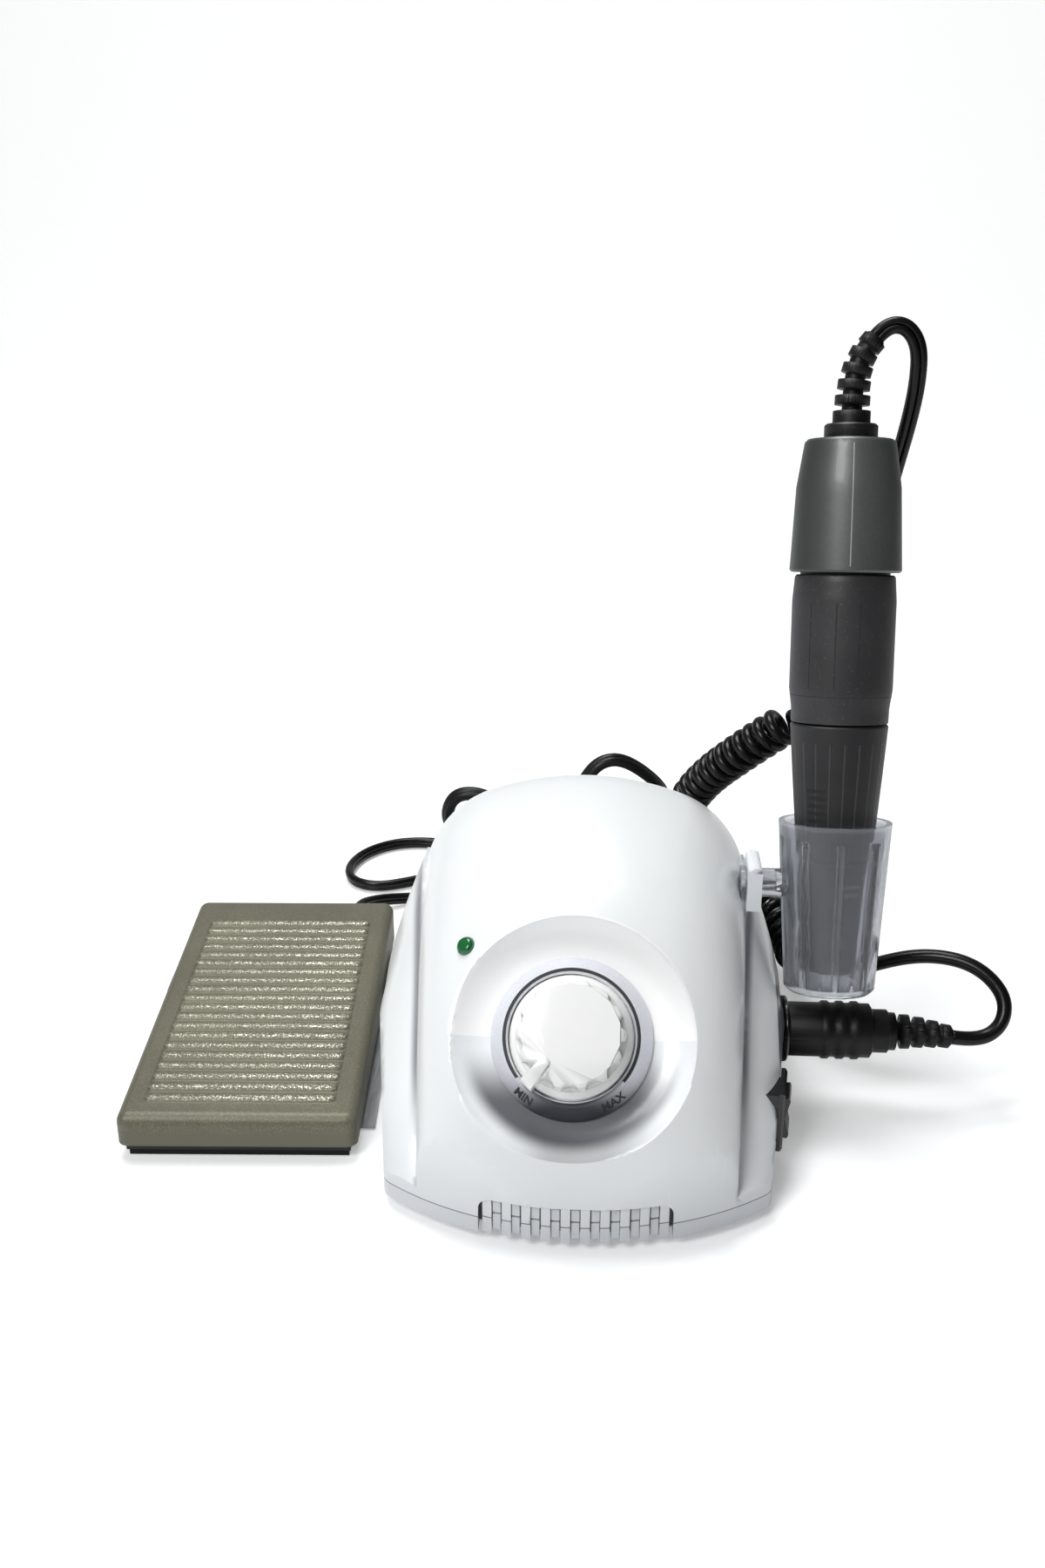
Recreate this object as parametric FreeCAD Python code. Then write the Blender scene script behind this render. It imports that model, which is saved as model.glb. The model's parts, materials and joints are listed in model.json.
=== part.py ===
"""Benchtop micromotor set: control box, electric handpiece in a holder cup, foot pedal and their cords."""
import FreeCAD, Part
import math
import os
from FreeCAD import Vector

# Control box: plan outline, arch and walls
BOX_DEPTH = 146.0
FRONT_RADIUS = 81.3
CORNER_X = 50.8
SIDE_X = 56.9
SIDE_Y = 62.0
WIDEST_X = 57.3
WIDEST_Y = 90.0
REAR_X = 56.0
FRONT_Y = 0.8
FRONT_FILLET = 6.0
REAR_FILLET = 9.0
FOOT_HEIGHT = 3.0
SEAM_Z = 7.7
WALL = 2.2
FLOOR = 2.2
ARCH_HALF = 47.0
ARCH_TAPER = 6.5
ARCH_CROWN = 78.0
ARCH_CORNER = 30.0
ARCH_TOP = 91.0
ARCH_BACK = 92.0
ARCH_START = 7.0
ARCH_STEPS = 8

# Grille, screws and feet
GRILLE_HALF = 24.8
GRILLE_TOP = 13.8
GRILLE_BARS = 10
GRILLE_PITCH = 5.0
GRILLE_BAR = 2.4
GRILLE_ROUND = 3.4
GRILLE_RECESS = 0.8
SCREEN_GAP = 0.3
SCREEN_THICK = 1.0
POST_RADIUS = 4.0
SCREW_RADIUS = 1.3
SCREW_LENGTH = 16.0
SCREW_HEAD = 2.8
SCREW_HEAD_HEIGHT = 1.4
FRONT_POST = (34.0, 22.0)
REAR_POST = (44.0, 132.0)
FOOT_RADIUS = 6.0
FOOT_X = 38.0
FOOT_FRONT_Y = 30.0
FOOT_REAR_Y = 122.0

# Speed dial
DIAL_CENTRE = (-1.9, 24.2, 49.2)
DIAL_ELEVATION = 37.0
BEZEL_RADIUS = 20.6
BEZEL_TOP_RADIUS = 17.6
BEZEL_HEIGHT = 4.2
BEZEL_WELL = 16.2
BEZEL_FLOOR = 1.2
BEZEL_SEAT_STEP = 1.5
BOWL_DIP = 1.5
KNOB_SKIRT_RADIUS = 15.9
KNOB_SKIRT_HEIGHT = 3.6
KNOB_GRIP_RADIUS = 13.9
KNOB_HEIGHT = 13.4
KNOB_LOBES = 14
KNOB_LIFT = 0.6
POINTER_AT = 40.8
SHAFT_RADIUS = 3.0
RUNNING_GAP = 0.05
POT_RADIUS = 8.0
POT_DEPTH = 9.0
BUSHING_RADIUS = 3.9
NUT_RADIUS = 5.4
NUT_HEIGHT = 2.0

# Lamp
LAMP_XY = (-30.0, 38.65)
LAMP_AXIS = (-0.477, -0.519, 0.710)
LAMP_RADIUS = 2.5
FIT_GAP = 0.1

# Board and its parts
BOARD = (-30.0, 32.0, 50.0, 100.0)
BOARD_THICK = 1.6
BOARD_Z = 11.0
STANDOFF_RADIUS = 2.6
CAPACITOR_RADIUS = 5.0
CAPACITOR_HEIGHT = 20.0
SINK_LENGTH = 30.0
SINK_HEIGHT = 22.0
SINK_FINS = 6
CORE = (48.0, 22.0, 40.0)
CORE_AT = (-13.0, 113.0)
CORE_LIMB = 8.0
BOBBIN_OVERHANG = 7.0

# Sockets, switches and gland
SOCKET_AT = (72.5, 24.2)
SOCKET_BARREL = 7.6
SOCKET_FLANGE = 9.4
SOCKET_FLANGE_THICK = 1.6
SOCKET_DEPTH = 14.0
SOCKET_BORE = 5.9
ROCKER_LENGTH = 13.0
ROCKER_WIDTH = 8.0
ROCKER_PIN = 0.9
ROCKER_TILT = 8.0
SWITCH_LENGTH = 18.0
SWITCH_WIDTH = 13.0
SWITCH_RIM = 1.8
SWITCH_DEPTH = 12.0
SWITCH_RISE = 2.6
DIRECTION_AT = (40.0, 18.8)
POWER_AT = (-28.0, 33.0)
FUSE_AT = (28.0, 36.0)
FUSE_RADIUS = 6.0
FUSE_DEPTH = 24.0
JACK_AT = (-30.0, 14.0)
JACK_RADIUS = 5.0
JACK_BORE = 3.2
GLAND_AT = (4.0, 22.0)
GLAND_RADIUS = 5.4

# Handpiece axis and stations, measured down from the rim of the tail cap
AXIS_X = 69.0
RIM_CENTRE = (AXIS_X, 97.7, 152.6)
LEAN = 15.5
CAP_TOP = -34.6
CAP_BREAK = -22.0
CAP_RIM = 0.5
CAP_TOP_RADIUS = 12.1
CAP_BREAK_RADIUS = 13.9
CAP_RIM_RADIUS = 14.95
COLLAR_TOP = -38.7
COLLAR_RADIUS = 7.1
HOUSING_RADIUS = 13.9
HOUSING_END = 40.8
HOUSING_BORE = 10.9
SLEEVE_START = 41.3
SLEEVE_END = 78.2
SLEEVE_TOP_RADIUS = 13.2
SLEEVE_END_RADIUS = 9.6
SLEEVE_TWIST = 35.0
TUBE_RADIUS = 7.6
TUBE_BORE = 5.6
NOSE_START = 78.6
NOSE_START_RADIUS = 9.3
NOSE_END = 110.3
NOSE_END_RADIUS = 7.0
SPINDLE_RADIUS = 3.0
SPINDLE_TOP = -17.0
SPINDLE_END = 106.5
COLLET_RADIUS = 1.9
SHANK_RADIUS = 1.175
SHANK_GAP = 0.02
COLLET_START = 81.0
BEARING_WIDTH = 5.0
ROTOR_RADIUS = 7.6
ROTOR_START = -4.0
ROTOR_END = 26.0
MAGNET_GAP = 0.6
COMMUTATOR_RADIUS = 4.6

# Holder cup and clip
CUP_RIM = 68.4
CUP_RIM_RADIUS = 15.45
CUP_END = 115.8
CUP_END_RADIUS = 12.5
CUP_WALL = 1.6
CUP_FLOOR = 1.9
CUP_RIBS = 8
CUP_RIB = 1.5
CUP_RIB_START = 5.0
PIVOT_AT = 86.0
PIN_RADIUS = 4.0
PIN_SLOT = 1.3
PIN_HEAD = 0.7
CLIP_X = (45.0, 49.0)
CLIP_HALF = 6.0
CLIP_ABOVE = 7.0
CLIP_BELOW = 6.2
CLIP_ROUND = 1.6

# Foot pedal, in its own frame: across, along and up
PEDAL_AT = (-93.8, 35.0)
PEDAL_YAW = 2.4
PEDAL_WIDTH = 66.4
PEDAL_LENGTH = 122.3
PEDAL_NEAR_TOP = 14.0
PEDAL_FAR_TOP = 18.0
TREADLE_THICK = 1.2
TREADLE_SKIRT = 4.6
TREADLE_ROUND = 3.2
PEDAL_GAP = 0.9
PAD_THICK = 2.0
PAD_INSET = 0.6
BASE_THICK = 1.6
FLANGE_REACH = 3.3
FLANGE_THICK = 0.9
FLANGE_LIFT = 0.2
FLANGE_ENDS = 15.0
LUG_SPAN = (80.0, 106.0)
LUG_THICK = 1.8
LUG_HEIGHT = 7.0
RIB_COUNT = 20
RIB_PITCH = 5.08
RIB_START = 8.6
RIB_HALF = 25.0
RIB_RADIUS = 2.0
RIB_RISE = 1.1
HINGE_Y = 112.0
HINGE_Z = 8.6
HINGE_RADIUS = 1.5
SPRING_RADIUS = 4.0
SPRING_Y = 40.0
SPRING_X = 18.0
PEDAL_GLAND_X = 18.0
PEDAL_GLAND_RADIUS = 4.0
PEDAL_GLAND_LENGTH = 6.0

# Cords
PLAIN_RADIUS = 2.1
CURL_CORD_RADIUS = 1.7
CURL_RADIUS = 4.9
CURL_LEAD = 3.0 * CURL_CORD_RADIUS
CURL_PITCH = 4.1
CURL_OPEN_PITCH = 4.8
CURL_CLOSE_SHARE = 0.45
PEDAL_CORD_RADIUS = 1.9
MAINS_RADIUS = 2.4
COIL_CENTRE = (30.0, 197.0)
COIL_RADIUS = 29.0
COIL_PITCH = 5.4
COIL_TURNS = 3
TIE_HALF = 3.0
TIE_THICK = 1.2

# Hand-chosen points of the cord routes
UPPER_ROUTE = [
    (74.6, 114.04, 211.57), (77.25, 114.91, 214.72), (82.4, 114.4, 214.8), (86.2, 113.8, 209.6), (86.7, 114.4, 200.0),
    (85.9, 116.8, 189.5), (84.6, 121.5, 177.5), (83.2, 126.4, 164.5), (82.2, 129.6, 150.5), (82.1, 130.9, 137.0),
    (82.8, 130.8, 121.5), (83.0, 130.3, 105.7), (79.6, 130.1, 99.9), (73.8, 130.0, 96.5), (67.65, 130.0, 96.5)]
CURL_SPINE = [
    (67.6, 130.0, 96.5), (60.6, 130.0, 96.5), (54.5, 131.7, 93.5), (46.4, 139.6, 81.6), (38.6, 149.8, 70.0),
    (32.6, 158.2, 57.5), (31.5, 164.5, 43.5), (41.0, 166.5, 31.5), (57.0, 161.5, 23.5), (68.0, 138.0, 19.0),
    (68.0, 114.0, 19.0)]
LOWER_ROUTE = [
    (68.0, 114.0, 19.0), (68.0, 106.0, 19.0), (74.4, 99.5, 24.4), (87.0, 96.2, 33.0),
    (101.0, 92.6, 38.6), (114.0, 87.5, 38.6), (122.0, 81.0, 32.6), (121.4, 76.0, 25.4),
    (114.25, 73.28, 21.08), (105.8, 72.9, 22.6)]
PEDAL_ROUTE = [
    (-81.19, 163.94, 7.2), (-81.6, 173.9, 7.2), (-76.0, 184.0, 4.6), (-66.0, 190.0, 2.6), (-54.0, 192.0, 2.2),
    (-43.0, 196.5, 2.2), (-37.5, 205.0, 2.2), (-42.0, 213.0, 2.2), (-53.0, 212.0, 2.2),
    (-66.0, 204.0, 2.2), (-78.0, 199.0, 2.2), (-88.0, 203.5, 2.2), (-91.0, 215.0, 2.2),
    (-86.0, 229.0, 2.2), (-74.0, 238.5, 2.2), (-58.0, 239.0, 2.2), (-42.0, 233.0, 2.2),
    (-30.0, 222.0, 2.2), (-25.0, 208.0, 2.4), (-26.0, 196.0, 5.4), (-29.0, 187.0, 10.6),
    (-30.0, 178.0, 14.0), (-30.0, 169.0, 14.0)]
MAINS_ROUTE = [
    (4.0, 158.0, 22.0), (4.0, 165.0, 22.0), (10.6, 171.5, 31.0), (21.5, 174.5, 41.0),
    (29.0, 173.5, 52.5), (13.5, 165.0, 69.2), (3.5, 162.6, 69.6), (-3.0, 161.5, 59.5),
    (-11.5, 162.0, 50.0), (-24.0, 163.0, 47.5), (-34.0, 164.0, 56.0), (-45.0, 164.6, 55.8),
    (-48.5, 166.0, 45.0), (-40.5, 169.4, 33.5), (-27.0, 172.6, 26.0), (-12.0, 174.0, 15.5),
    (3.0, 171.0, 6.0), (16.0, 168.0, 2.7), (25.2, 168.0, 2.7)]


def block(x0, x1, y0, y1, z0, z1):
    return Part.makeBox(x1 - x0, y1 - y0, z1 - z0, Vector(x0, y0, z0))


def rod(radius, start, along, length):
    return Part.makeCylinder(radius, length, Vector(*start), Vector(*along))


def turned(outline):
    """Solid of revolution about Z of a closed outline of (radius, height) pairs."""
    corners = [Vector(r, 0, z) for r, z in outline]
    face = Part.Face(Part.makePolygon(corners + corners[:1]))
    return face.revolve(Vector(0, 0, 0), Vector(0, 0, 1), 360)


def tube(outer, inner, low, high):
    return turned([(inner, low), (outer, low), (outer, high), (inner, high)])


def placed(shape, placement):
    result = shape.copy()
    result.Placement = placement.multiply(result.Placement)
    return result


def one(shape):
    """The single solid of a boolean's result."""
    solids = shape.Solids
    return max(solids, key=lambda s: s.Volume)


# Curves for cords

def rounded_route(points):
    """Straight runs joined by tangent arcs; returns the edges and the arc radii."""
    knots = [Vector(*p) for p in points]
    edges, radii = [], []
    last = knots[0]
    for before, corner, after in zip(knots, knots[1:], knots[2:]):
        back = (before - corner)
        ahead = (after - corner)
        reach = 0.45 * min(back.Length, ahead.Length)
        half = (math.pi - back.getAngle(ahead)) / 2
        radius = reach / math.tan(half)
        back.normalize()
        ahead.normalize()
        start = corner + back * reach
        end = corner + ahead * reach
        inward = back + ahead
        inward.normalize()
        depth = radius / math.cos(half) - radius
        edges.append(Part.LineSegment(last, start).toShape())
        edges.append(Part.Arc(start, corner + inward * depth, end).toShape())
        radii.append(radius)
        last = end
    edges.append(Part.LineSegment(last, knots[-1]).toShape())
    return edges, radii


def pipe(edges, radius):
    path = Part.Wire(edges)
    start = path.Edges[0].valueAt(path.Edges[0].FirstParameter)
    along = path.Edges[0].tangentAt(path.Edges[0].FirstParameter)
    ring = Part.Wire(Part.Circle(start, along, radius).toShape())
    return path.makePipeShell([ring], True, False), path.Length


def cord(name, points, radius):
    edges, radii = rounded_route(points)
    shape, length = pipe(edges, radius)
    expected = math.pi * radius * radius * length
    print(f"{name}: length {length:.0f} mm, least bend radius {min(radii):.1f} mm, volume ratio {shape.Volume / expected:.3f}")
    return shape


def sampled(points, step=0.25):
    """Evenly spaced points along a rounded route, with frames carried along without twist."""
    edges, _ = rounded_route(points)
    places = []
    for edge in edges:
        count = max(2, int(edge.Length / step))
        places += edge.discretize(Number=count)[:-1]
    places.append(edges[-1].valueAt(edges[-1].LastParameter))
    lengths = [0.0]
    for a, b in zip(places, places[1:]):
        lengths.append(lengths[-1] + (b - a).Length)
    normal = Vector(0, 0, 1)
    frames = []
    for i, place in enumerate(places):
        along = places[min(i + 1, len(places) - 1)] - places[max(i - 1, 0)]
        along.normalize()
        normal = normal - along * normal.dot(along)
        normal.normalize()
        frames.append((place, normal, along.cross(normal)))
    return lengths, frames


def between(lengths, frames, s):
    s = min(max(s, 0.0), lengths[-1])
    low, high = 0, len(lengths) - 1
    while high - low > 1:
        middle = (low + high) // 2
        if lengths[middle] <= s:
            low = middle
        else:
            high = middle
    share = (s - lengths[low]) / (lengths[high] - lengths[low])
    return [a + (b - a) * share for a, b in zip(frames[low], frames[high])]


def biarc(p0, t0, p1, t1):
    """Two arcs that leave p0 along t0 and reach p1 along t1."""
    v = p1 - p0
    vt = v.dot(t0 + t1)
    a = 2 * (1 - t0.dot(t1))
    if a > 1e-9:
        d = (-vt + math.sqrt(vt * vt + a * v.dot(v))) / a
    else:
        d = v.dot(v) / (4 * v.dot(t1))
    joint = (p0 + p1 + (t0 - t1) * d) * 0.5
    return [arc_from(p0, t0, joint), arc_from(p1, t1 * -1, joint, True)]


def arc_from(start, along, end, backwards=False):
    """Arc from start to end that leaves start along the given direction."""
    chord = end - start
    side = chord - along * chord.dot(along)
    if side.Length < 1e-6 * chord.Length:
        ends = (end, start) if backwards else (start, end)
        return Part.LineSegment(*ends).toShape()
    centre = start + side * (chord.dot(chord) / (2 * side.dot(chord)))
    middle = (start - centre) + (end - centre)
    middle.normalize()
    middle = centre + middle * (start - centre).Length
    ends = (end, middle, start) if backwards else (start, middle, end)
    return Part.Arc(*ends).toShape()


def wound(name, curve, turns, radius, lead_in, lead_out):
    """Unbroken tube along curve(turn), on biarcs of a quarter turn, with straight ends."""
    def direction(turn):
        tangent = curve(turn + 0.01) - curve(turn - 0.01)
        tangent.normalize()
        return tangent
    count = int(round(turns * 4))
    marks = [turns * i / count for i in range(count + 1)]
    places = [curve(m) for m in marks]
    tangents = [direction(m) for m in marks]
    edges = []
    if lead_in:
        places = [lead_in[1]] + places
        tangents = [(lead_in[1] - lead_in[0]).normalize()] + tangents
        edges.append(Part.LineSegment(lead_in[0], lead_in[1]).toShape())
    if lead_out:
        places = places + [lead_out[0]]
        tangents = tangents + [(lead_out[1] - lead_out[0]).normalize()]
    for i in range(len(places) - 1):
        edges += biarc(places[i], tangents[i], places[i + 1], tangents[i + 1])
    if lead_out:
        edges.append(Part.LineSegment(lead_out[0], lead_out[1]).toShape())
    shape, length = pipe(edges, radius)
    dots = []
    for edge in edges:
        dots += edge.discretize(Number=5)[:-1]
    travelled = [0.0]
    for a, b in zip(dots, dots[1:]):
        travelled.append(travelled[-1] + (b - a).Length)
    apart = min(
        (dots[i] - dots[j]).Length
        for i in range(len(dots)) for j in range(i + 1, len(dots))
        if travelled[j] - travelled[i] > 6 * radius)
    print(f"{name}: {turns:.1f} turns, cord {length:.0f} mm, least self gap {apart - 2 * radius:.2f} mm, "
          f"volume ratio {shape.Volume / (math.pi * radius * radius * length):.3f}")
    return shape


def curl_turn_count():
    """Turns along the spine: close on the shown stretch, stretched behind the box and round bends."""
    lengths, frames = sampled(CURL_SPINE)
    lead = CURL_LEAD
    total = lengths[-1] - 2 * lead
    marks, turn, s = [(0.0, lead)], 0.0, lead
    while s < lead + total:
        before, here, after = (between(lengths, frames, s + step)[0] for step in (-2.5, 0.0, 2.5))
        bend = (after - here).getAngle(here - before) / 2.5
        pitch = CURL_PITCH if s < lead + CURL_CLOSE_SHARE * total else CURL_OPEN_PITCH
        pitch /= 1 - CURL_RADIUS * bend
        s += pitch / 16
        turn += 1 / 16
        marks.append((turn, s))
    return lengths, frames, lead, total, marks


def curly_cord():
    lengths, frames, lead, total, marks = curl_turn_count()
    turns = math.floor(marks[-1][0])
    stretch = total / (marks[int(turns * 16)][1] - lead)

    def curve(turn):
        turn = min(max(turn, 0.0), turns - 1e-9)
        index = int(turn * 16)
        share = turn * 16 - index
        s = marks[index][1] + (marks[index + 1][1] - marks[index][1]) * share
        s = lead + (s - lead) * stretch
        place, normal, side = between(lengths, frames, s)
        ramp = min(1.0, turn / 0.75, (turns - turn) / 0.75)
        reach = CURL_RADIUS * (0.35 + 0.65 * ramp)
        angle = 2 * math.pi * turn
        return place + normal * (reach * math.cos(angle)) + side * (reach * math.sin(angle))

    first, second = Vector(*CURL_SPINE[0]), Vector(*CURL_SPINE[1])
    last, earlier = Vector(*CURL_SPINE[-1]), Vector(*CURL_SPINE[-2])
    out = (second - first).normalize() * (2 * CURL_CORD_RADIUS)
    back = (earlier - last).normalize() * (2 * CURL_CORD_RADIUS)
    return wound("handpiece_cord_curl", curve, turns, CURL_CORD_RADIUS, (first, first + out), (last + back, last))


def mains_coil():
    """Two layers of loops on the table: inward below, a climb of half a turn, outward above."""
    low = MAINS_ROUTE[-1][2]
    climb = 2 * MAINS_RADIUS + 0.6
    turns = 2 * COIL_TURNS + 0.5
    inner = COIL_RADIUS - COIL_PITCH * COIL_TURNS

    def curve(turn):
        if turn < COIL_TURNS:
            rise = 0.0
        elif turn < COIL_TURNS + 0.5:
            rise = climb * (1 - math.cos(2 * math.pi * (turn - COIL_TURNS))) / 2
        else:
            rise = climb
        reach = inner + COIL_PITCH * (abs(turn - COIL_TURNS - 0.25) - 0.25)
        angle = 2 * math.pi * turn - math.pi / 2
        x = COIL_CENTRE[0] + reach * math.cos(angle)
        y = COIL_CENTRE[1] + reach * math.sin(angle)
        return Vector(x, y, low + rise)

    start = Vector(*MAINS_ROUTE[-1])
    end = curve(turns)
    out = Vector(-2 * MAINS_RADIUS, 0, 0)
    lead_out = (end + out * 0.5, end + out * 1.5)
    lead_in = (start, start + Vector(2 * MAINS_RADIUS - 1, 0, 0))
    return wound("mains_coil", curve, turns, MAINS_RADIUS, lead_in, lead_out), lead_out[1]


# Control box

def front_y(x, inset=0.0):
    """Depth of the bowed front wall at x."""
    return FRONT_Y + FRONT_RADIUS - math.sqrt((FRONT_RADIUS - inset) ** 2 - x * x)


def plan_prism(inset, low, high):
    corner_x = CORNER_X - inset
    corner_y = front_y(corner_x, inset)
    front = Part.Arc(
        Vector(-corner_x, corner_y, low), Vector(0, FRONT_Y + inset, low), Vector(corner_x, corner_y, low)).toShape()
    right = [
        Vector(corner_x, corner_y, low), Vector(SIDE_X - inset, SIDE_Y, low),
        Vector(WIDEST_X - inset, WIDEST_Y, low), Vector(REAR_X - inset, BOX_DEPTH - inset, low)]
    left = [Vector(-p.x, p.y, p.z) for p in reversed(right)]
    wire = Part.Wire([front] + [Part.LineSegment(a, b).toShape() for a, b in zip(right + left, (right + left)[1:])])
    prism = Part.Face(wire).extrude(Vector(0, 0, high - low))

    def upright(edge, x, y):
        ends = [v.Point for v in edge.Vertexes]
        level = abs(ends[0].z - ends[-1].z) < 0.1
        return not level and all(abs(abs(p.x) - x) < 0.1 and abs(p.y - y) < 0.1 for p in ends)
    fronts = [e for e in prism.Edges if upright(e, corner_x, corner_y)]
    rears = [e for e in prism.Edges if upright(e, REAR_X - inset, BOX_DEPTH - inset)]
    return one(prism.makeFillet(FRONT_FILLET - inset, fronts).makeFillet(REAR_FILLET - inset, rears))


# Fall of the vault's top behind its highest point: y, drop
ARCH_REAR = [(100.0, 1.0), (112.0, 6.0), (128.0, 13.5), (150.0, 24.5), (158.0, 28.5)]


def arch_half(y):
    """Half width of the vault, narrower towards its front."""
    return ARCH_HALF - ARCH_TAPER * max(0.0, 1 - y / ARCH_BACK)


def arch_section(y, top, inset):
    """Upright section of the vault: a wide crown between two tighter corners on straight sides."""
    half = arch_half(y) - inset
    crown, corner = ARCH_CROWN - inset, ARCH_CORNER - inset
    between_centres = ARCH_CROWN - ARCH_CORNER
    reach = half - corner
    rise = math.sqrt(between_centres ** 2 - reach ** 2)
    crown_z = top - crown
    corner_z = crown_z + rise
    touch = Vector(crown * reach / between_centres, y, crown_z + crown * rise / between_centres)
    lean = math.atan2(rise, reach) / 2
    middle = Vector(reach + corner * math.cos(lean), y, corner_z + corner * math.sin(lean))
    side, low = Vector(half, y, corner_z), Vector(half, y, -70)

    def left(p):
        return Vector(-p.x, p.y, p.z)
    return Part.Wire([
        Part.LineSegment(left(low), left(side)).toShape(),
        Part.Arc(left(side), left(middle), left(touch)).toShape(),
        Part.Arc(left(touch), Vector(0, y, top), touch).toShape(),
        Part.Arc(touch, middle, side).toShape(),
        Part.LineSegment(side, low).toShape(),
        Part.LineSegment(low, left(low)).toShape()])


def arch(inset):
    """Central vault of the cover: its section carried along an elliptical front and a falling rear."""
    sections = []
    for i in range(ARCH_STEPS + 1):
        angle = math.radians(ARCH_START + (90 - ARCH_START) * i / ARCH_STEPS)
        y = ARCH_BACK - (ARCH_BACK - inset) * math.cos(angle)
        sections.append(arch_section(y, (ARCH_TOP - inset) * math.sin(angle), inset))
    for y, drop in ARCH_REAR:
        sections.append(arch_section(y, ARCH_TOP - drop - inset, inset))
    return Part.makeLoft(sections, True, False)


def vault_height(x, y):
    """Height of the vault's outer surface on its front half, beside the crown."""
    top = ARCH_TOP * math.sin(math.acos((ARCH_BACK - y) / ARCH_BACK))
    reach = arch_half(y) - ARCH_CORNER
    rise = math.sqrt((ARCH_CROWN - ARCH_CORNER) ** 2 - reach ** 2)
    return top - ARCH_CROWN + rise + math.sqrt(ARCH_CORNER ** 2 - (abs(x) - reach) ** 2)


# Shoulder sections: y, foot of the curve, a point on it, its crest
SHOULDERS = [
    (6.0, (53.0, -8.0), (51.0, 2.0), (39.0, 6.0)), (18.0, (53.0, 0.0), (51.0, 9.0), (41.0, 15.0)),
    (30.0, (55.2, 4.0), (52.7, 17.0), (42.6, 26.0)), (41.0, (57.4, 8.0), (53.9, 24.0), (43.3, 36.0)),
    (52.0, (58.8, 12.0), (54.4, 31.0), (43.9, 43.5)), (62.0, (59.6, 16.0), (53.9, 39.0), (44.4, 52.0)),
    (72.0, (59.6, 20.0), (53.4, 45.0), (45.2, 64.0)), (80.0, (59.6, 22.0), (52.6, 50.0), (45.5, 69.0)),
    (92.0, (59.6, 23.0), (52.0, 51.5), (45.6, 70.0))]
REAR_SHOULDERS = SHOULDERS[-1:] + [
    (104.0, (59.6, 21.0), (52.2, 47.0), (45.4, 64.0)), (118.0, (59.6, 18.0), (52.4, 41.5), (45.2, 57.0)),
    (132.0, (59.6, 14.0), (52.6, 34.5), (45.0, 49.0)), (151.0, (59.6, 9.0), (52.8, 27.0), (44.8, 40.0))]


def shoulder_section(spots, inset):
    y, foot, side, crest = spots
    a = Vector(foot[0] - inset, y, -70)
    b = Vector(foot[0] - inset, y, foot[1])
    m = Vector(side[0] - inset * 0.9, y, side[1] - inset * 0.4)
    c = Vector(crest[0] - inset * 0.7, y, crest[1] - inset)
    d = Vector(30 - inset, y, crest[1] - 12 - inset)
    left = [Vector(-p.x, p.y, p.z) for p in (d, c, m, b, a)]
    return Part.Wire([
        Part.LineSegment(a, b).toShape(), Part.Arc(b, m, c).toShape(),
        Part.LineSegment(c, d).toShape(), Part.LineSegment(d, left[0]).toShape(),
        Part.LineSegment(left[0], left[1]).toShape(), Part.Arc(left[1], left[2], left[3]).toShape(),
        Part.LineSegment(left[3], left[4]).toShape(), Part.LineSegment(left[4], a).toShape()])


def shoulders(inset):
    """Lower side shoulders that flank the vault, rise towards its top and fall behind it."""
    front = Part.makeLoft([shoulder_section(spots, inset) for spots in SHOULDERS], True, False)
    rear = Part.makeLoft([shoulder_section(spots, inset) for spots in REAR_SHOULDERS], True, True)
    return front, rear


def body(inset, low):
    plan = plan_prism(inset, low, 110.0)
    front, rear = shoulders(inset)
    return one(arch(inset).common(plan).fuse([front.common(plan), rear.common(plan)]))


def dial_frame():
    turn = FreeCAD.Rotation(Vector(1, 0, 0), 90 - DIAL_ELEVATION)
    return FreeCAD.Placement(Vector(*DIAL_CENTRE), turn)


# Dish round the dial, outside the bezel: radius, height above the bezel's seat
BOWL = [(24.5, -1.3), (27.3, -0.6), (29.5, 0.6), (31.0, 2.1), (32.4, 4.6)]


def bowl_cutter(drop):
    """Shallow bowl round the dial, with the bezel's seat standing up in its middle."""
    seat = BEZEL_RADIUS - BEZEL_SEAT_STEP - drop
    outline = [
        (0, -drop), (seat, -drop), (seat, -BOWL_DIP - drop), (BEZEL_RADIUS + 0.6, -BOWL_DIP - drop)]
    outline += [(radius, rise - drop) for radius, rise in BOWL] + [(BOWL[-1][0], 40), (0, 40)]
    return placed(turned(outline), dial_frame())


def grille_notch():
    """Outline of the grille with rounded upper corners, reaching through the front wall."""
    half, top, low, edge = GRILLE_HALF, GRILLE_TOP, -5.0, GRILLE_TOP - GRILLE_ROUND
    cut = GRILLE_ROUND * (1 - math.sqrt(0.5))

    def spot(x, z):
        return Vector(x, -5, z)
    wire = Part.Wire([
        Part.LineSegment(spot(-half, low), spot(-half, edge)).toShape(),
        Part.Arc(spot(-half, edge), spot(-half + cut, top - cut), spot(-half + GRILLE_ROUND, top)).toShape(),
        Part.LineSegment(spot(-half + GRILLE_ROUND, top), spot(half - GRILLE_ROUND, top)).toShape(),
        Part.Arc(spot(half - GRILLE_ROUND, top), spot(half - cut, top - cut), spot(half, edge)).toShape(),
        Part.LineSegment(spot(half, edge), spot(half, low)).toShape(),
        Part.LineSegment(spot(half, low), spot(-half, low)).toShape()])
    return Part.Face(wire).extrude(Vector(0, 25, 0))


def grille_recess():
    """The shallow step by which the grille's bars stand back from the wall."""
    return grille_notch().cut(plan_prism(GRILLE_RECESS, -6, 60))


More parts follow.
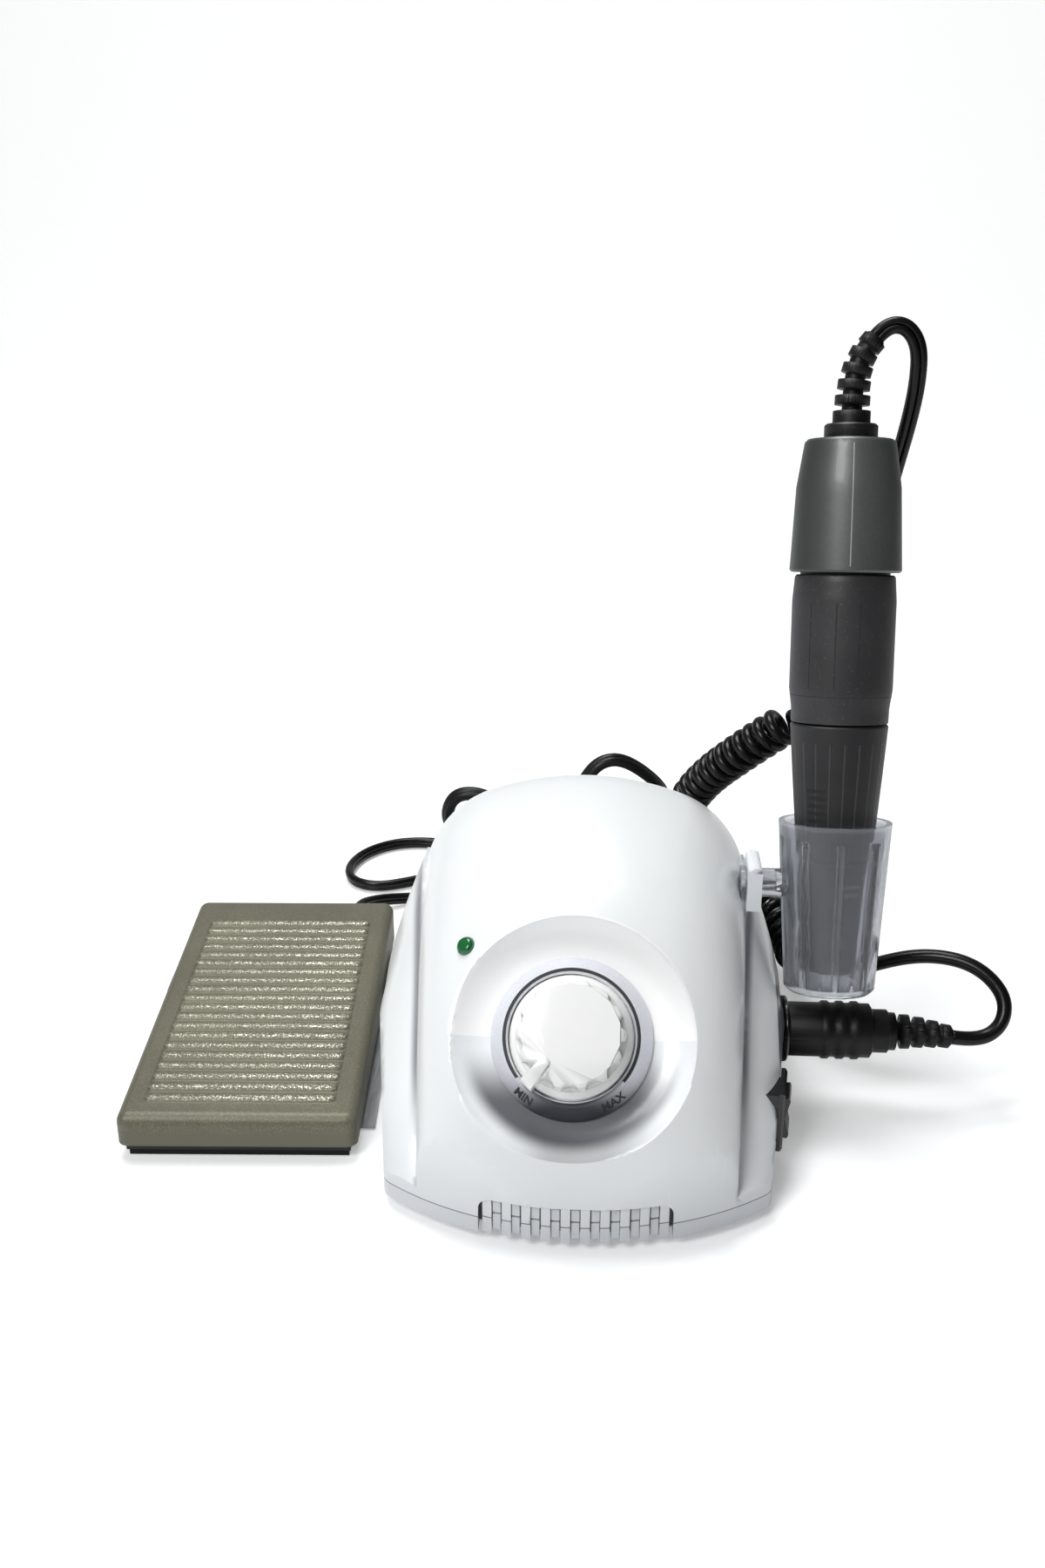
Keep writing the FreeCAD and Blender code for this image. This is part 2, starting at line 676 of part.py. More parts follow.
def grille_slots(low, high):
    """Slots between the grille bars, through the front wall."""
    first = -GRILLE_PITCH * (GRILLE_BARS - 1) / 2
    bars = [first + GRILLE_PITCH * i for i in range(GRILLE_BARS)]
    edges = [-GRILLE_HALF] + [x + side * GRILLE_BAR / 2 for x in bars for side in (-1, 1)] + [GRILLE_HALF]
    slots = [block(a, b, -5, front_y(CORNER_X) * 0.5, low, high) for a, b in zip(edges[::2], edges[1::2])]
    return Part.makeCompound(slots).common(grille_notch())


def side_frame(y, z):
    """Frame on the flared right side: Z outward, Y up."""
    corner_y = front_y(CORNER_X)
    along = Vector(SIDE_X - CORNER_X, SIDE_Y - corner_y, 0)
    share = (y - corner_y) / (SIDE_Y - corner_y)
    at = Vector(CORNER_X + along.x * share, y, z)
    along.normalize()
    outward = Vector(along.y, -along.x, 0)
    turn = FreeCAD.Rotation(along, Vector(0, 0, 1), outward, "ZYX")
    return FreeCAD.Placement(at, turn)


def rear_frame(x, z):
    """Frame on the rear wall: Z outward, Y up."""
    turn = FreeCAD.Rotation(Vector(-1, 0, 0), Vector(0, 0, 1), Vector(0, 1, 0), "ZYX")
    return FreeCAD.Placement(Vector(x, BOX_DEPTH, z), turn)


def socket_frame():
    turn = FreeCAD.Rotation(Vector(0, 1, 0), 90)
    y, z = SOCKET_AT
    share = (y + SOCKET_FLANGE - SIDE_Y) / (WIDEST_Y - SIDE_Y)
    return FreeCAD.Placement(Vector(SIDE_X + (WIDEST_X - SIDE_X) * share + FIT_GAP, y, z), turn)


def lamp_seat():
    x, y = LAMP_XY
    return Vector(x, y, vault_height(x, y))


def switch_cutter():
    half_l, half_w = SWITCH_LENGTH / 2 - SWITCH_RIM + FIT_GAP, SWITCH_WIDTH / 2 - SWITCH_RIM + FIT_GAP
    return block(-half_w, half_w, -half_l, half_l, -10, 10)


def posts(grow):
    spots = [(s * x, y) for s in (-1, 1) for x, y in (FRONT_POST, REAR_POST)]
    return [rod(POST_RADIUS + grow, (x, y, FOOT_HEIGHT + FLOOR), (0, 0, 1), 80) for x, y in spots]


def screw_spots():
    return [(s * x, y) for s in (-1, 1) for x, y in (FRONT_POST, REAR_POST)]


def clip_slot():
    """Room for the clip's plate and, on its inner side, for the head of the cup's pin."""
    pivot = pivot_point()
    slot = block(
        CLIP_X[0] - FIT_GAP, CLIP_X[1] + FIT_GAP, pivot.y - CLIP_HALF - FIT_GAP, pivot.y + CLIP_HALF + FIT_GAP,
        pivot.z - CLIP_BELOW, 100)
    head = PIN_RADIUS + PIN_HEAD + 2 * FIT_GAP
    inner = CLIP_X[0] - 1.8
    slot = slot.fuse(rod(head, (inner, pivot.y, pivot.z), (1, 0, 0), 2))
    return slot.fuse(block(inner, CLIP_X[0], pivot.y - head, pivot.y + head, pivot.z, 100))


def top_cover(outer, inner):
    cover = outer.cut(inner)
    cover = cover.fuse(outer.common(bowl_cutter(WALL)))
    for post in posts(0):
        cover = cover.fuse(post.common(outer))
    cover = cover.cut(bowl_cutter(0))
    cover = cover.cut(block(-90, 90, -20, 180, -5, SEAM_Z))
    for x, y in screw_spots():
        stub = tube(POST_RADIUS, SCREW_RADIUS + RUNNING_GAP, FOOT_HEIGHT + FLOOR, SEAM_Z)
        cover = cover.fuse(placed(stub, FreeCAD.Placement(Vector(x, y, 0), FreeCAD.Rotation())))
        cover = cover.cut(rod(SCREW_RADIUS + RUNNING_GAP, (x, y, 0), (0, 0, 1), SCREW_LENGTH + 8))
    cover = cover.cut(grille_recess()).cut(grille_slots(SEAM_Z - 1, GRILLE_TOP))
    frame = dial_frame()
    cover = cover.cut(placed(rod(BUSHING_RADIUS + FIT_GAP, (0, 0, -10), (0, 0, 1), 20), frame))
    lamp = lamp_seat() - Vector(*LAMP_AXIS) * 10
    cover = cover.cut(rod(LAMP_RADIUS + FIT_GAP, lamp, LAMP_AXIS, 20))
    cover = cover.cut(placed(rod(SOCKET_BARREL + FIT_GAP, (0, 0, -12), (0, 0, 1), 24), socket_frame()))
    cover = cover.cut(placed(switch_cutter(), side_frame(*DIRECTION_AT)))
    cover = cover.cut(placed(switch_cutter(), rear_frame(*POWER_AT)))
    for radius, spot in ((FUSE_RADIUS, FUSE_AT), (JACK_RADIUS, JACK_AT), (GLAND_RADIUS, GLAND_AT)):
        cover = cover.cut(placed(rod(radius + FIT_GAP, (0, 0, -10), (0, 0, 1), 20), rear_frame(*spot)))
    return one(cover.cut(clip_slot()))


def base_tray(outer, inner):
    """Tray below the seam: floor, low wall, board standoffs, foot and screw seats."""
    tray = outer.cut(inner).cut(block(-90, 90, -20, 180, SEAM_Z, 120))
    tray = tray.cut(grille_recess()).cut(grille_slots(FOOT_HEIGHT - 1, SEAM_Z + 1))
    top = BOARD_Z
    x0, x1, y0, y1 = BOARD
    for x in (x0 + 4, x1 - 4):
        for y in (y0 + 4, y1 - 4):
            tray = tray.fuse(rod(STANDOFF_RADIUS, (x, y, FOOT_HEIGHT + FLOOR), (0, 0, 1), top - FOOT_HEIGHT - FLOOR))
    for x, y in screw_spots():
        tray = tray.cut(rod(SCREW_RADIUS + 0.3, (x, y, 0), (0, 0, 1), 9))
        tray = tray.cut(rod(SCREW_HEAD + 0.3, (x, y, FOOT_HEIGHT - 1), (0, 0, 1), 1 + SCREW_HEAD_HEIGHT))
    return one(tray)


def case_screws():
    screws = []
    for x, y in screw_spots():
        head_top = FOOT_HEIGHT + SCREW_HEAD_HEIGHT
        head = rod(SCREW_HEAD, (x, y, head_top - SCREW_HEAD_HEIGHT), (0, 0, 1), SCREW_HEAD_HEIGHT)
        shank = rod(SCREW_RADIUS, (x, y, head_top - 0.5), (0, 0, 1), SCREW_LENGTH)
        slot = block(x - SCREW_HEAD, x + SCREW_HEAD, y - 0.3, y + 0.3, FOOT_HEIGHT - 1, FOOT_HEIGHT + 0.7)
        screws.append(head.fuse(shank).cut(slot))
    return Part.makeCompound(screws)


def rubber_feet():
    feet = []
    for x in (-FOOT_X, FOOT_X):
        for y in (FOOT_FRONT_Y, FOOT_REAR_Y):
            outline = [(0, 0), (FOOT_RADIUS - 1, 0), (FOOT_RADIUS, FOOT_HEIGHT), (0, FOOT_HEIGHT)]
            feet.append(placed(turned(outline), FreeCAD.Placement(Vector(x, y, 0), FreeCAD.Rotation())))
    return Part.makeCompound(feet)


def vent_screen():
    low = FOOT_HEIGHT + FLOOR
    strip = plan_prism(WALL + SCREEN_GAP, low, GRILLE_TOP).cut(plan_prism(WALL + SCREEN_GAP + SCREEN_THICK, 0, 40))
    reach = GRILLE_HALF + 1
    return one(strip.common(block(-reach, reach, -5, front_y(CORNER_X) * 0.6, low, GRILLE_TOP - 1.5)))


# Speed dial

def dial_bezel():
    """Ring with a skirt that reaches down round its seat."""
    seat = BEZEL_RADIUS - BEZEL_SEAT_STEP + FIT_GAP
    outline = [
        (BUSHING_RADIUS + FIT_GAP, 0), (seat, 0), (seat, -BOWL_DIP + FIT_GAP), (BEZEL_RADIUS + 0.3, -BOWL_DIP + FIT_GAP),
        (BEZEL_RADIUS, 0), (BEZEL_TOP_RADIUS, BEZEL_HEIGHT),
        (BEZEL_WELL, BEZEL_HEIGHT), (BEZEL_WELL, BEZEL_FLOOR), (BUSHING_RADIUS + FIT_GAP, BEZEL_FLOOR)]
    return placed(turned(outline), dial_frame())


def speed_knob():
    low = BEZEL_FLOOR + KNOB_LIFT
    step = low + KNOB_SKIRT_HEIGHT
    top = low + KNOB_HEIGHT
    hollow = BEZEL_FLOOR + NUT_HEIGHT + KNOB_LIFT
    outline = [
        (NUT_RADIUS + 1.2, low), (KNOB_SKIRT_RADIUS, low), (KNOB_SKIRT_RADIUS - 0.4, step - 0.6),
        (KNOB_GRIP_RADIUS + 0.8, step), (KNOB_GRIP_RADIUS, step + 0.8), (KNOB_GRIP_RADIUS - 0.5, top - 0.9),
        (KNOB_GRIP_RADIUS - 1.4, top), (0, top), (0, top - 1.6), (SHAFT_RADIUS, top - 1.6),
        (SHAFT_RADIUS, hollow), (NUT_RADIUS + 1.2, hollow)]
    knob = turned(outline)
    for i in range(KNOB_LOBES):
        angle = 2 * math.pi * (i + 0.5) / KNOB_LOBES
        reach = KNOB_GRIP_RADIUS + 1.1
        knob = knob.cut(rod(2.7, (reach * math.cos(angle), reach * math.sin(angle), step + 0.9), (0, 0, 1), top))
    root = step - 0.8
    corners = [(-0.5, 8.3), (0.5, 8.3), (1.1, 9.4), (1.85, 17.0), (-1.85, 17.0), (-1.1, 9.4), (-0.5, 8.3)]
    fin = Part.Face(Part.makePolygon([Vector(x, y, root) for x, y in corners])).extrude(Vector(0, 0, top))
    profile = [
        (8.0, root - 1), (18.0, root - 1), (18.0, top - 3.2), (16.2, top - 0.6), (13.2, top + 0.8), (8.9, top + 0.8),
        (8.0, top - 0.4), (8.0, root - 1)]
    side = Part.Face(Part.makePolygon([Vector(-5, y, z) for y, z in profile])).extrude(Vector(10, 0, 0))
    fin = fin.common(side)
    fin.rotate(Vector(0, 0, 0), Vector(0, 0, 1), 180 - POINTER_AT)
    return placed(one(knob.fuse(fin)), dial_frame())


def dial_shaft():
    top = BEZEL_FLOOR + KNOB_LIFT + KNOB_HEIGHT - 1.6
    low = -WALL - POT_DEPTH + 1
    return placed(rod(SHAFT_RADIUS, (0, 0, low), (0, 0, 1), top - low), dial_frame())


def potentiometer():
    bore = SHAFT_RADIUS + RUNNING_GAP
    end = BEZEL_FLOOR + NUT_HEIGHT
    outline = [
        (0, -WALL - POT_DEPTH), (POT_RADIUS, -WALL - POT_DEPTH), (POT_RADIUS, -WALL), (BUSHING_RADIUS, -WALL),
        (BUSHING_RADIUS, end), (bore, end), (bore, -WALL - POT_DEPTH + 0.9), (0, -WALL - POT_DEPTH + 0.9)]
    return placed(turned(outline), dial_frame())


def dial_nut():
    corners = [Vector(NUT_RADIUS * math.cos(i * math.pi / 3), NUT_RADIUS * math.sin(i * math.pi / 3), BEZEL_FLOOR)
               for i in range(7)]
    nut = Part.Face(Part.makePolygon(corners)).extrude(Vector(0, 0, NUT_HEIGHT - 0.2))
    return placed(nut.cut(rod(BUSHING_RADIUS, (0, 0, 0), (0, 0, 1), 10)), dial_frame())


def power_lamp():
    outline = [
        (0, -4.6), (LAMP_RADIUS + 0.7, -4.6), (LAMP_RADIUS + 0.7, -3.4), (LAMP_RADIUS, -3.4),
        (LAMP_RADIUS, 0.4), (LAMP_RADIUS * 0.75, 1.2), (0, 1.6)]
    turn = FreeCAD.Rotation(Vector(0, 0, 1), Vector(*LAMP_AXIS))
    return placed(turned(outline), FreeCAD.Placement(lamp_seat(), turn))


# Inside the box

def circuit_board():
    x0, x1, y0, y1 = BOARD
    return block(x0, x1, y0, y1, BOARD_Z, BOARD_Z + BOARD_THICK)


def capacitors():
    top = BOARD_Z + BOARD_THICK
    spots = [(BOARD[0] + 10, BOARD[2] + 38), (BOARD[0] + 23, BOARD[2] + 38)]
    return Part.makeCompound([rod(CAPACITOR_RADIUS, (x, y, top), (0, 0, 1), CAPACITOR_HEIGHT) for x, y in spots])


def heat_sink():
    low = BOARD_Z + BOARD_THICK
    x0, y0 = BOARD[0] + 4, BOARD[2] + 10
    sink = block(x0, x0 + SINK_LENGTH, y0, y0 + 3, low, low + SINK_HEIGHT)
    pitch = (SINK_LENGTH - 2) / (SINK_FINS - 1)
    for i in range(SINK_FINS):
        x = x0 + i * pitch
        sink = sink.fuse(block(x, x + 2, y0 + 2, y0 + 12, low, low + SINK_HEIGHT))
    return one(sink)


def power_transistor():
    low = BOARD_Z + BOARD_THICK
    x, y = BOARD[0] + 4 + SINK_LENGTH / 2, BOARD[2] + 10
    return block(x - 5, x + 5, y - 4.5, y, low, low + 15)


def transformer_core():
    x, y = CORE_AT
    half, thick, high = CORE[0] / 2, CORE[1] / 2, CORE[2]
    low = FOOT_HEIGHT + FLOOR
    core = block(x - half, x + half, y - thick, y + thick, low, low + high)
    for side in (-1, 1):
        inner, outer = sorted((x + side * CORE_LIMB, x + side * (half - CORE_LIMB)))
        core = core.cut(block(inner, outer, y - 30, y + 30, low + CORE_LIMB, low + high - CORE_LIMB))
    return core


def transformer_winding():
    x, y = CORE_AT
    thick = CORE[1] / 2
    low = FOOT_HEIGHT + FLOOR + CORE_LIMB + FIT_GAP
    high = FOOT_HEIGHT + FLOOR + CORE[2] - CORE_LIMB - FIT_GAP
    reach = CORE[0] / 2 - CORE_LIMB - FIT_GAP
    winding = block(x - reach, x + reach, y - thick - BOBBIN_OVERHANG, y + thick + BOBBIN_OVERHANG, low, high)
    limb = CORE_LIMB + FIT_GAP
    return winding.cut(block(x - limb, x + limb, y - thick - FIT_GAP, y + thick + FIT_GAP, low - 5, high + 5))


def handpiece_socket():
    outline = [
        (0, -SOCKET_DEPTH), (SOCKET_BARREL, -SOCKET_DEPTH), (SOCKET_BARREL, 0), (SOCKET_FLANGE, 0),
        (SOCKET_FLANGE, SOCKET_FLANGE_THICK - 0.4), (SOCKET_FLANGE - 0.4, SOCKET_FLANGE_THICK),
        (SOCKET_BORE, SOCKET_FLANGE_THICK), (SOCKET_BORE, -SOCKET_DEPTH + 4), (0, -SOCKET_DEPTH + 4)]
    return placed(turned(outline), socket_frame())


def switch_body():
    """Snap-in rocker switch housing, its rim on the wall and its well for the rocker."""
    half_l, half_w = SWITCH_LENGTH / 2, SWITCH_WIDTH / 2
    inner_l, inner_w = half_l - SWITCH_RIM, half_w - SWITCH_RIM
    rim = block(-half_w, half_w, -half_l, half_l, FIT_GAP, SWITCH_RIM)
    edges = [e for e in rim.Edges if min(v.Point.z for v in e.Vertexes) > SWITCH_RIM - 0.1]
    housing = rim.makeChamfer(0.6, edges).fuse(block(-inner_w, inner_w, -inner_l, inner_l, -SWITCH_DEPTH, FIT_GAP))
    well = block(
        -ROCKER_WIDTH / 2 - 0.15, ROCKER_WIDTH / 2 + 0.15, -ROCKER_LENGTH / 2 - 0.2, ROCKER_LENGTH / 2 + 0.2,
        -SWITCH_DEPTH + 2, SWITCH_RIM + 1)
    pin = rod(ROCKER_PIN, (-inner_w, 0, 0), (1, 0, 0), 2 * inner_w)
    return one(housing.cut(well).fuse(pin))


def rocker():
    """Rocker with two faces that meet in a shallow V, on a cross pin."""
    half_l, half_w = ROCKER_LENGTH / 2, ROCKER_WIDTH / 2
    tall = SWITCH_RISE + 0.6
    side = [
        (-half_l + 0.5, 0.0), (-half_l + 0.2, tall - 0.4), (-half_l + 1.2, tall), (0, SWITCH_RISE - 0.6),
        (half_l - 1.2, tall), (half_l - 0.2, tall - 0.4), (half_l - 0.5, 0.0), (0, -3.6)]
    corners = [Vector(-half_w, y, z) for y, z in side]
    shape = Part.Face(Part.makePolygon(corners + corners[:1])).extrude(Vector(2 * half_w, 0, 0))
    return shape.cut(rod(ROCKER_PIN + RUNNING_GAP, (-half_w - 1, 0, 0), (1, 0, 0), 2 * half_w + 2))


def fuse_holder():
    outline = [
        (0, -FUSE_DEPTH), (FUSE_RADIUS, -FUSE_DEPTH), (FUSE_RADIUS, FIT_GAP), (FUSE_RADIUS + 2, FIT_GAP),
        (FUSE_RADIUS + 2, 1.6), (FUSE_RADIUS - 1, 1.6), (FUSE_RADIUS - 1, 8), (FUSE_RADIUS - 2, 9), (0, 9)]
    return placed(turned(outline), rear_frame(*FUSE_AT))


def pedal_jack():
    outline = [
        (0, -12), (JACK_RADIUS, -12), (JACK_RADIUS, FIT_GAP), (JACK_RADIUS + 1.6, FIT_GAP),
        (JACK_RADIUS + 1.6, 1.4), (JACK_BORE, 1.4), (JACK_BORE, -9), (0, -9)]
    return placed(turned(outline), rear_frame(*JACK_AT))


def mains_gland():
    bore = MAINS_RADIUS + RUNNING_GAP
    outline = [
        (bore, -6), (GLAND_RADIUS, -6), (GLAND_RADIUS, FIT_GAP), (GLAND_RADIUS + 1.6, FIT_GAP),
        (GLAND_RADIUS + 1.6, 2), (4.6, 2), (3.4, 12), (bore, 12)]
    return placed(turned(outline), rear_frame(*GLAND_AT))


# Handpiece, built along its axis with the cap's rim at height zero

def hand_frame():
    return FreeCAD.Placement(Vector(*RIM_CENTRE), FreeCAD.Rotation(Vector(1, 0, 0), -LEAN))


def lathe(pairs):
    """Turned piece on the handpiece axis, from (station, radius) pairs."""
    return placed(turned([(r, -t) for t, r in pairs]), hand_frame())


def pivot_point():
    return hand_frame().multVec(Vector(0, 0, -PIVOT_AT))


def tail_cap():
    return lathe([
        (CAP_TOP, COLLAR_RADIUS - 1.0), (CAP_TOP, CAP_TOP_RADIUS - 0.8), (CAP_TOP + 0.8, CAP_TOP_RADIUS),
        (CAP_BREAK, CAP_BREAK_RADIUS), (CAP_RIM - 0.6, CAP_RIM_RADIUS), (CAP_RIM, CAP_RIM_RADIUS - 0.6),
        (CAP_RIM, HOUSING_BORE + 1.2), (-18.0, HOUSING_BORE + 1.2), (-18.0, HOUSING_BORE - 0.4),
        (CAP_TOP + 3.6, HOUSING_BORE - 0.4), (CAP_TOP + 3.6, COLLAR_RADIUS - 1.0)])


def tail_collar():
    return lathe([
        (COLLAR_TOP, PLAIN_RADIUS + 0.3), (COLLAR_TOP, COLLAR_RADIUS - 0.5), (COLLAR_TOP + 0.5, COLLAR_RADIUS),
        (CAP_TOP, COLLAR_RADIUS), (CAP_TOP, COLLAR_RADIUS - 1.1), (CAP_TOP + 5, COLLAR_RADIUS - 1.1),
        (CAP_TOP + 5, PLAIN_RADIUS + 0.3)])


def motor_housing():
    spigot = HOUSING_BORE + 1.1
    return lathe([
        (-17.8, HOUSING_BORE), (-17.8, spigot), (1.1, spigot), (1.1, HOUSING_RADIUS - 1.0),
        (1.7, HOUSING_RADIUS - 0.5), (8.1, HOUSING_RADIUS), (31.7, HOUSING_RADIUS), (37.0, SLEEVE_TOP_RADIUS),
        (HOUSING_END, SLEEVE_TOP_RADIUS - 0.1), (HOUSING_END, TUBE_BORE), (36.0, TUBE_BORE), (36.0, HOUSING_BORE)])


def chuck_sleeve():
    bore = TUBE_RADIUS + RUNNING_GAP
    return lathe([
        (SLEEVE_START, bore), (SLEEVE_START, SLEEVE_TOP_RADIUS - 0.4), (SLEEVE_START + 0.5, SLEEVE_TOP_RADIUS),
        (55.6, 12.15), (69.0, 11.05), (75.5, 10.2), (SLEEVE_END, SLEEVE_END_RADIUS), (SLEEVE_END, bore)])


def nose_cone():
    return lathe([
        (HOUSING_END, TUBE_BORE), (HOUSING_END, TUBE_RADIUS), (NOSE_START, TUBE_RADIUS),
        (NOSE_START, NOSE_START_RADIUS), (84.0, 8.7), (100.0, 7.5), (NOSE_END - 0.8, NOSE_END_RADIUS),
        (NOSE_END, NOSE_END_RADIUS - 0.8), (NOSE_END, SPINDLE_RADIUS + 0.4), (NOSE_END - 6, SPINDLE_RADIUS + 0.4),
        (NOSE_END - 6, TUBE_BORE)])


def end_bell():
    """Upper end plate of the motor, seat of the rear bearing."""
    return lathe([
        (-17.6, TUBE_BORE), (-17.6, HOUSING_BORE - RUNNING_GAP), (-13.0, HOUSING_BORE - RUNNING_GAP),
        (-13.0, SPINDLE_RADIUS + 1.0), (-13.8, SPINDLE_RADIUS + 1.0), (-13.8, TUBE_BORE)])


def bearings():
    outer, inner = TUBE_BORE - RUNNING_GAP, SPINDLE_RADIUS + RUNNING_GAP
    rear = lathe([(-17.6, inner), (-17.6, outer), (-13.9, outer), (-13.9, inner)])
    end = NOSE_END - 6.1
    front = lathe([(end - BEARING_WIDTH, inner), (end - BEARING_WIDTH, outer), (end, outer), (end, inner)])
    return rear, front


def motor_magnets():
    inner, outer = ROTOR_RADIUS + MAGNET_GAP, HOUSING_BORE - RUNNING_GAP
    ring = turned([(inner, -ROTOR_END), (outer, -ROTOR_END), (outer, -ROTOR_START), (inner, -ROTOR_START)])
    ring = ring.cut(block(-2.5, 2.5, -20, 20, -60, 60))
    return placed(Part.makeCompound(ring.Solids), hand_frame())


def brushes():
    inner, outer = COMMUTATOR_RADIUS + RUNNING_GAP, HOUSING_BORE - 0.3
    blocks = [block(inner, outer, -1.8, 1.8, 6.2, 9.8), block(-outer, -inner, -1.8, 1.8, 6.2, 9.8)]
    return placed(Part.makeCompound(blocks), hand_frame())


def spindle():
    return lathe([
        (SPINDLE_TOP, 0), (SPINDLE_TOP, SPINDLE_RADIUS), (SPINDLE_END, SPINDLE_RADIUS),
        (SPINDLE_END, COLLET_RADIUS + RUNNING_GAP), (80.0, COLLET_RADIUS + RUNNING_GAP), (80.0, 0)])


def rotor():
    return lathe([
        (ROTOR_START, SPINDLE_RADIUS + 0.02), (ROTOR_START, ROTOR_RADIUS), (ROTOR_END, ROTOR_RADIUS),
        (ROTOR_END, SPINDLE_RADIUS + 0.02)])


def commutator():
    return lathe([
        (-11.0, SPINDLE_RADIUS + 0.02), (-11.0, COMMUTATOR_RADIUS), (ROTOR_START - 0.5, COMMUTATOR_RADIUS),
        (ROTOR_START - 0.5, SPINDLE_RADIUS + 0.02)])


def collet():
    return lathe([
        (COLLET_START, SHANK_RADIUS + SHANK_GAP), (COLLET_START, COLLET_RADIUS), (SPINDLE_END + 0.2, COLLET_RADIUS),
        (SPINDLE_END + 2.2, COLLET_RADIUS + 0.6), (SPINDLE_END + 3.0, COLLET_RADIUS),
        (SPINDLE_END + 3.0, SHANK_RADIUS + SHANK_GAP)])


def boot(points, radii, bore, rings):
    """Bending relief: a core tube along a short route with rings that taper to its end."""
    edges, _ = rounded_route(points)
    core, length = pipe(edges, radii[1] - 0.7)
    lengths, frames = sampled(points)
    pitch = length / rings
    for i in range(rings):
        share = i / (rings - 1)
        radius = radii[0] + (radii[1] - radii[0]) * share
        low = between(lengths, frames, i * pitch + (0 if i == 0 else 0.25 * pitch))
        high = between(lengths, frames, (i + 1) * pitch - 0.15 * pitch)
        along = high[0] - low[0]
        core = core.fuse(Part.makeCylinder(radius, along.Length, low[0], along))
    hollow, _ = pipe(edges, bore)
    return one(core.cut(hollow))


BOOT_ROUTE = [(0.0, 0.0, 38.7), (0.0, 0.0, 45.5), (0.5, 0.0, 51.5), (2.2, 0.0, 57.0)]
BOOT_RINGS = 6


def relief_points():
    """The boot stands on the collar and bends to the right at its top."""
    points = [hand_frame().multVec(Vector(*p)) for p in BOOT_ROUTE]
    return [tuple(p) for p in points] + [UPPER_ROUTE[0]]


def cord_relief():
    return boot(relief_points(), (5.0, 3.4), PLAIN_RADIUS + 0.05, BOOT_RINGS)


# Holder

def holder_cup():
    inner_rim, inner_end = CUP_RIM_RADIUS - CUP_WALL, CUP_END_RADIUS - CUP_WALL
    floor = CUP_END - CUP_FLOOR
    shell = turned([(r, -t) for t, r in (
        (CUP_RIM, inner_rim), (CUP_RIM, CUP_RIM_RADIUS), (CUP_END - 1, CUP_END_RADIUS), (CUP_END, CUP_END_RADIUS - 1),
        (CUP_END, 0), (floor, 0), (floor, inner_end))])
    cone = turned([(r, -t) for t, r in (
        (CUP_RIM, 0), (CUP_RIM, inner_rim + 0.4), (CUP_END, inner_end + 0.4), (CUP_END, 0))])
    core = turned([(r, -t) for t, r in (
        (CUP_RIM - 1, 0), (CUP_RIM - 1, inner_rim - CUP_RIB), (floor + 1, inner_end - CUP_RIB), (floor + 1, 0))])
    for i in range(CUP_RIBS):
        angle = 360.0 * i / CUP_RIBS
        rib = block(0, CUP_RIM_RADIUS, -CUP_RIB / 2, CUP_RIB / 2, -CUP_END + 1, -CUP_RIM - CUP_RIB_START)
        rib = rib.cut(core).common(cone)
        rib.rotate(Vector(0, 0, 0), Vector(0, 0, 1), angle)
        shell = shell.fuse(rib)
    cup = placed(shell, hand_frame())
    pivot = pivot_point()
    wall_x = AXIS_X - CUP_RIM_RADIUS + 1.9
    pin = rod(PIN_RADIUS, (CLIP_X[0] - 1.6, pivot.y, pivot.z), (1, 0, 0), wall_x - CLIP_X[0] + 1.6)
    pin = pin.fuse(rod(PIN_RADIUS + PIN_HEAD, (CLIP_X[0] - 1.6, pivot.y, pivot.z), (1, 0, 0), 1.4))
    slot = block(CLIP_X[0] - 3, wall_x - 2.2, pivot.y - 9, pivot.y + 9, pivot.z - PIN_SLOT / 2, pivot.z + PIN_SLOT / 2)
    return one(cup.fuse(pin.cut(slot)))


def holder_clip():
    pivot = pivot_point()
    plate = block(
        CLIP_X[0], CLIP_X[1], pivot.y - CLIP_HALF, pivot.y + CLIP_HALF,
        pivot.z - CLIP_BELOW + FIT_GAP, pivot.z + CLIP_ABOVE)
    crest = [e for e in plate.Edges if all(abs(v.Z - plate.BoundBox.ZMax) < 0.01 for v in e.Vertexes)]
    lengthwise = [e for e in crest if abs(e.Vertexes[0].X - e.Vertexes[-1].X) < 0.01]
    plate = plate.makeFillet(CLIP_ROUND, lengthwise)
    return plate.cut(rod(PIN_RADIUS + RUNNING_GAP, (CLIP_X[0] - 5, pivot.y, pivot.z), (1, 0, 0), 20))


# Handpiece plug

def handpiece_plug():
    start = SOCKET_FLANGE_THICK + 0.1
    grip = placed(turned([
        (0, -7.6), (SOCKET_BORE - 0.2, -7.6), (SOCKET_BORE - 0.2, start), (7.75, start), (7.75, 11.0), (8.3, 11.6),
        (8.3, 13.2), (7.75, 13.8), (7.75, 15.2), (8.3, 15.8), (8.3, 17.4), (7.75, 18.0), (7.75, 19.4), (8.3, 20.0),
        (8.3, 21.6), (7.75, 22.2), (7.75, 25.0), (6.2, 26.0), (6.2, 30.0), (5.4, 30.6), (0, 30.6)]), socket_frame())
    base = socket_frame().Base
    tip = Vector(*LOWER_ROUTE[-1])
    middle = Vector(base.x + 39.7, base.y, base.z)
    points = [(base.x + 29.0, base.y, base.z), tuple(middle), tuple(tip)]
    tail = boot(points, (5.4, 3.4), 0.4, 5)
    return one(grip.fuse(tail))


# Foot pedal

def pedal_frame():
    return FreeCAD.Placement(Vector(PEDAL_AT[0], PEDAL_AT[1], 0), FreeCAD.Rotation(Vector(0, 0, 1), PEDAL_YAW))


def treadle_top(y):
    return PEDAL_NEAR_TOP + (PEDAL_FAR_TOP - PEDAL_NEAR_TOP) * y / PEDAL_LENGTH


